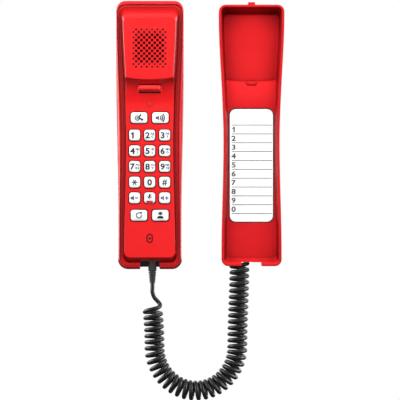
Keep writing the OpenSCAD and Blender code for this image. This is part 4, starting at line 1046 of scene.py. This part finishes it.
def makeKeyPrint(node, centre):
    name = node[4:]
    if node in signs:
        printOnKey("sign" + name + "Print", node, centre, [(slabs(signs[node]), (0, 0))],
                   darkPrint)
        return
    digit = figure(name, prints["figure"], prints["weight"], prints["wide"])
    printOnKey("digit" + name + "Print", node, centre,
               [(digit, (0 if name == "0" else prints["aside"], 0))], darkPrint)
    if name in letters:
        first, second = prints["letterX"]
        marks = []
        for row, z in zip(letters[name], prints["letterZ"]):
            spots = (first, second) if len(row) == 2 else ((first + second) / 2,)
            marks += [(figure(mark, prints["letter"], prints["letterWeight"]), (x, z))
                      for mark, x in zip(row, spots)]
        printOnKey("letters" + name + "Print", node, centre, marks, palePrint)


digitNodes = ["key_" + name for name in (*"123456789", "star", "0", "hash", "volume_down",
                                         "mute", "volume_up")]
wideNodes = ["key_line", "key_speaker", "key_redial", "key_service"]
digitPlaces, widePlaces = keyPlaces()
for node, centre in zip(digitNodes + wideNodes, digitPlaces + widePlaces):
    makeKey(node, centre, keys["wideWidth" if node in wideNodes else "width"])
    makeKeyPrint(node, centre)
print("keys and signs made")


# card: rules and line numbers, under a clear cover
sheet = {"z": -23.5, "width": 35, "height": 90.2, "corner": 5.2, "edge": 0.5,
             "print": (-16.93, -16.8), "cover": (-17.5, -17.05), "coverEdge": 0.12,
             "firstRule": 8.5, "pitch": 7.03, "rules": 11, "ruleHalf": 0.32,
             "ruleX": (-15.6, 16.4), "figure": 4.4, "figureX": -14.1, "figureWide": 1.2,
             "figureWeight": 0.04, "figureRise": 1.3, "oneHeight": 4.9, "oneMiddle": -1.7}


def cardFigure(text):
    if text == "1":  # with the flag that the built-in font leaves out
        grow = sheet["figure"] / sheet["oneHeight"]
        return slabs([[((x - sheet["oneMiddle"]) * grow, z * grow)
                       for x, z in signs["key_1"][0]]])
    return figure(text, sheet["figure"], sheet["figureWeight"], sheet["figureWide"])


def makeCardPrint():
    first, pitch, half = sheet["firstRule"], sheet["pitch"], sheet["ruleHalf"]
    rules = [boxOutline(sheet["ruleX"], (first - i * pitch - half, first - i * pitch + half))
             for i in range(sheet["rules"])]
    dress(prisms("cardRules", rules, *sheet["print"]), "base", "card", ruleGrey)
    above = sheet["figureRise"] + sheet["figure"] / 2
    figures = joined([(cardFigure(text), (sheet["figureX"], first - i * pitch + above))
                      for i, text in enumerate("1234567890", 1)])
    dress(raised("cardFigures", figures, *sheet["print"]), "base", "card", blackPrint)

    def outline(inset):
        return roundedOutline(sheet["width"] - 2 * inset, sheet["height"] - 2 * inset,
                              sheet["corner"] - inset, 0, sheet["z"], 12)

    # a dark red ring round the card's rim: a painted shadow line in the gap between the card and
    # its bed
    edge = carve(prisms("cardShadowEdge", [outline(0)], *sheet["print"]), "DIFFERENCE",
                 prisms("inside", [outline(sheet["edge"])], -18, -16))
    dress(edge, "base", "card", shadeDarkRed)
    cover = prisms("cardCover", [outline(0)], *sheet["cover"])
    smooth(settle(soften(cover, sheet["coverEdge"])))
    dress(cover, "base", "clear_window", clearCover, "card_window")


makeCardPrint()
print("card printed")


# strain relief with its slots
boot = {"top": -99.6, "length": 17.4, "collar": 7.4, "wide": 3.3, "narrow": 2.4, "bore": 1.62,
        "ribs": 5, "firstRib": 1.1, "pitch": 1.9, "gap": 0.65, "neck": 0.78, "leastNeck": 1.75,
        "sides": 40}


def bootProfile():  # radius and height, up the outside
    top, end, bore = boot["top"], boot["top"] - boot["length"], boot["bore"]
    wide, narrow, taper = boot["wide"], boot["narrow"], boot["length"] - boot["collar"]
    profile = [(bore, end), (narrow - 0.25, end), (narrow, end + 0.3)]
    for i in range(boot["ribs"]):
        low = end + boot["firstRib"] + i * boot["pitch"]
        high = low + boot["gap"]
        r = mix(narrow, wide, min(1, (low - end) / taper))
        neck = max(boot["neck"] * r, boot["leastNeck"])
        profile += [(r - 0.12, low - 0.16), (r - 0.25, low), (neck, low + 0.05),
                    (neck, high - 0.05), (r - 0.2, high), (r, high + 0.2)]
    return profile + [(wide, end + taper), (wide, top - 0.4), (wide - 0.4, top), (bore, top)]


def makeBoot():
    profile, sides = bootProfile(), boot["sides"]
    x, y = handset["cordX"] + handsetX, handset["cordY"] + lipY
    points = [(a, b, z) for r, z in profile for a, b in diskOutline(r, x, y, sides)]
    count = len(profile)
    faces = [face for k in range(count)
             for face in belt(k * sides, (k + 1) % count * sides, sides)]
    piece = newPiece("cordBoot", points, faces)
    smooth(piece, 40)
    dress(piece, "handset", "black_boot", blackBoot, "cord_boot")
    return piece


cordBoot = makeBoot()
[list(map(float, p)) for p in route]
print("boot made")


# the other pieces keep their built shape, with their edges softened by so many millimetres
kept = {
    "wall_plate": (blackPlate, 0.25), "lock_screw": (steel, 0.12), "dial_card": (card, 0),
    "line_board": (board, 0.1), "line_board_screws": (steel, 0.1),
    "cord_socket": (blackSocket, 0.15), "line_socket": (whiteSocket, 0.15),
    "base_plug": (clearPlug, 0.12), "handset_screws": (steel, 0.15), "main_board": (board, 0.1),
    "board_screws": (steel, 0.1), "keypad_mat": (greyRubber, 0.1),
    "earpiece_speaker": (shadeDarkRed, 0.15), "speaker_gasket": (blackFoam, 0.15),
    "microphone": (blackFoam, 0.15), "mic_boot": (blackFoam, 0.15),
    "hook_switch": (blackSocket, 0.2), "mute_light": (redLens, 0.12),
    "ring_light": (faintLens, 0.2), "handset_socket": (blackSocket, 0.2),
    "handset_plug": (clearPlug, 0.12),
}
for name, (material, edge) in kept.items():
    for slot in nodes[name].material_slots:
        slot.material = material
    if edge:
        soften(nodes[name], edge, 2, 50)
    evenNormals(nodes[name])
print("built pieces finished")


studio = {"floorZ": -0.24, "floorRadius": 3.0, "floorSides": 96, "middle": -0.04,
          "clearFrom": 0.12, "clearTo": 0.3, "bounce": 0.06, "ambient": 0.24,
          "gloss": (0.05, 2.2), "ahead": 0.4, "above": 0.3}
lamps = {
    "frontKey": {"place": (-0.08, -1.5, 0.6), "size": (0.6, 0.4), "power": 11},
    "topKey": {"place": (-0.05, -0.8, 1.35), "size": (0.6, 0.4), "power": 42,
               "shadow": False},
    "backFill": {"place": (-0.04, 1.4, 0.7), "size": (0.8, 0.5), "power": 26},
    "leftStrip": {"place": (-1.15, -0.1, 0.05), "size": (0.4, 1.2), "power": 13,
                  "shine": True},
    "rightStrip": {"place": (1.05, -0.1, 0.0), "size": (0.4, 1.2), "power": 13,
                   "shine": True},
}
lampAim = Vector((-0.04, 0, -0.02))


def rayKinds(start):  # 1 on rays that the camera sees by, and 1 on mirrored rays
    paths = start.tree.nodes.new("ShaderNodeLightPath")
    straight, through, mirrored = (Wire(start.tree, paths.outputs["Is " + kind + " Ray"])
                                   for kind in ("Camera", "Transmission", "Glossy"))
    return start.reckon("MAXIMUM", straight, through), mirrored


def paintFloor(place):
    grain = place.noise(40, 3).between(0.3, 0.7)
    return {"Base Color": grain.colours(tint(246, 246, 246), tint(243, 243, 243))}


def makeFloor():  # it shines white beyond the object, and throws little light back up
    sides = studio["floorSides"]
    ring = [(x, y, studio["floorZ"] / mm)
            for x, y in diskOutline(studio["floorRadius"] / mm, sides=sides)]
    floor = newPiece("floor", ring, [range(sides)])
    material = finish("paleFloor", {"Roughness": 0.8, "Specular IOR Level": 0.1}, paintFloor)
    tree = material.node_tree
    body = Wire(tree, tree.nodes["Principled BSDF"].outputs[0])
    place = body.add("ShaderNodeTexCoord", out="Object")
    x, y = place.part("X") - studio["middle"], place.part("Y")
    away = body.reckon("SQRT", x * x + y * y).between(studio["clearFrom"], studio["clearTo"])
    seen, mirrored = rayKinds(body)
    glow = body.add("ShaderNodeEmission", None, {"Color": (1, 1, 1, 1), "Strength": 1.0})
    both = body.add("ShaderNodeMixShader", None, {0: away * seen, 1: body, 2: glow})
    dark = body.add("ShaderNodeEmission", None, {"Strength": 0.0})
    dimmed = body.add("ShaderNodeMixShader", None,
                      {0: (1 - seen) * (1 - studio["bounce"]), 1: both, 2: dark})
    tree.links.new(dimmed.socket, tree.nodes["Material Output"].inputs["Surface"])
    floor.data.materials.append(material)


def makeWorld():  # white to the camera, dim to the surfaces, bright at the sides in mirrors
    world = bpy.data.worlds.new("studio")
    bpy.context.scene.world = world
    world.use_nodes = True
    tree = world.node_tree
    start = Wire(tree)
    toward = start.add("ShaderNodeTexCoord", out="Generated")
    x, y, z = (toward.part(axis) for axis in "XYZ")
    low, high = studio["gloss"]
    aside = start.reckon("ABSOLUTE", x).between(0.45, 0.9)
    beyond = y.between(0.2, 0.7) * (1 - z.between(0.25, 0.6))
    ahead = (1 - y.between(-0.99, -0.9)) * studio["ahead"]
    above = z.between(0.4, 0.9) * studio["above"]
    mirror = start.reckon("MAXIMUM", aside, beyond) * (high - low) + low + ahead + above
    seen, mirrored = rayKinds(start)
    gloss = mirrored * (1 - seen)
    strength = seen + gloss * mirror + (1 - seen) * (1 - gloss) * studio["ambient"]
    sky = tree.nodes["Background"]
    sky.inputs["Color"].default_value = (1, 1, 1, 1)
    tree.links.new(strength.socket, sky.inputs["Strength"])


def makeLamps():  # a fill lights the surfaces only, a shine is only mirrored in them
    for name, lamp in lamps.items():
        light = bpy.data.lights.new(name, "AREA")
        light.shape = "RECTANGLE"
        light.size, light.size_y = lamp["size"]
        light.energy = lamp["power"]
        light.use_shadow = lamp.get("shadow", True)
        holder = addToScene(name, light)
        holder.visible_glossy = "shine" in lamp
        holder.visible_diffuse = "shine" not in lamp
        holder.location = lamp["place"]
        holder.rotation_euler = (lampAim - holder.location).to_track_quat("-Z", "Y").to_euler()


makeFloor()
makeWorld()
makeLamps()
bpy.context.scene.view_settings.view_transform = "Standard"
print("studio lit")
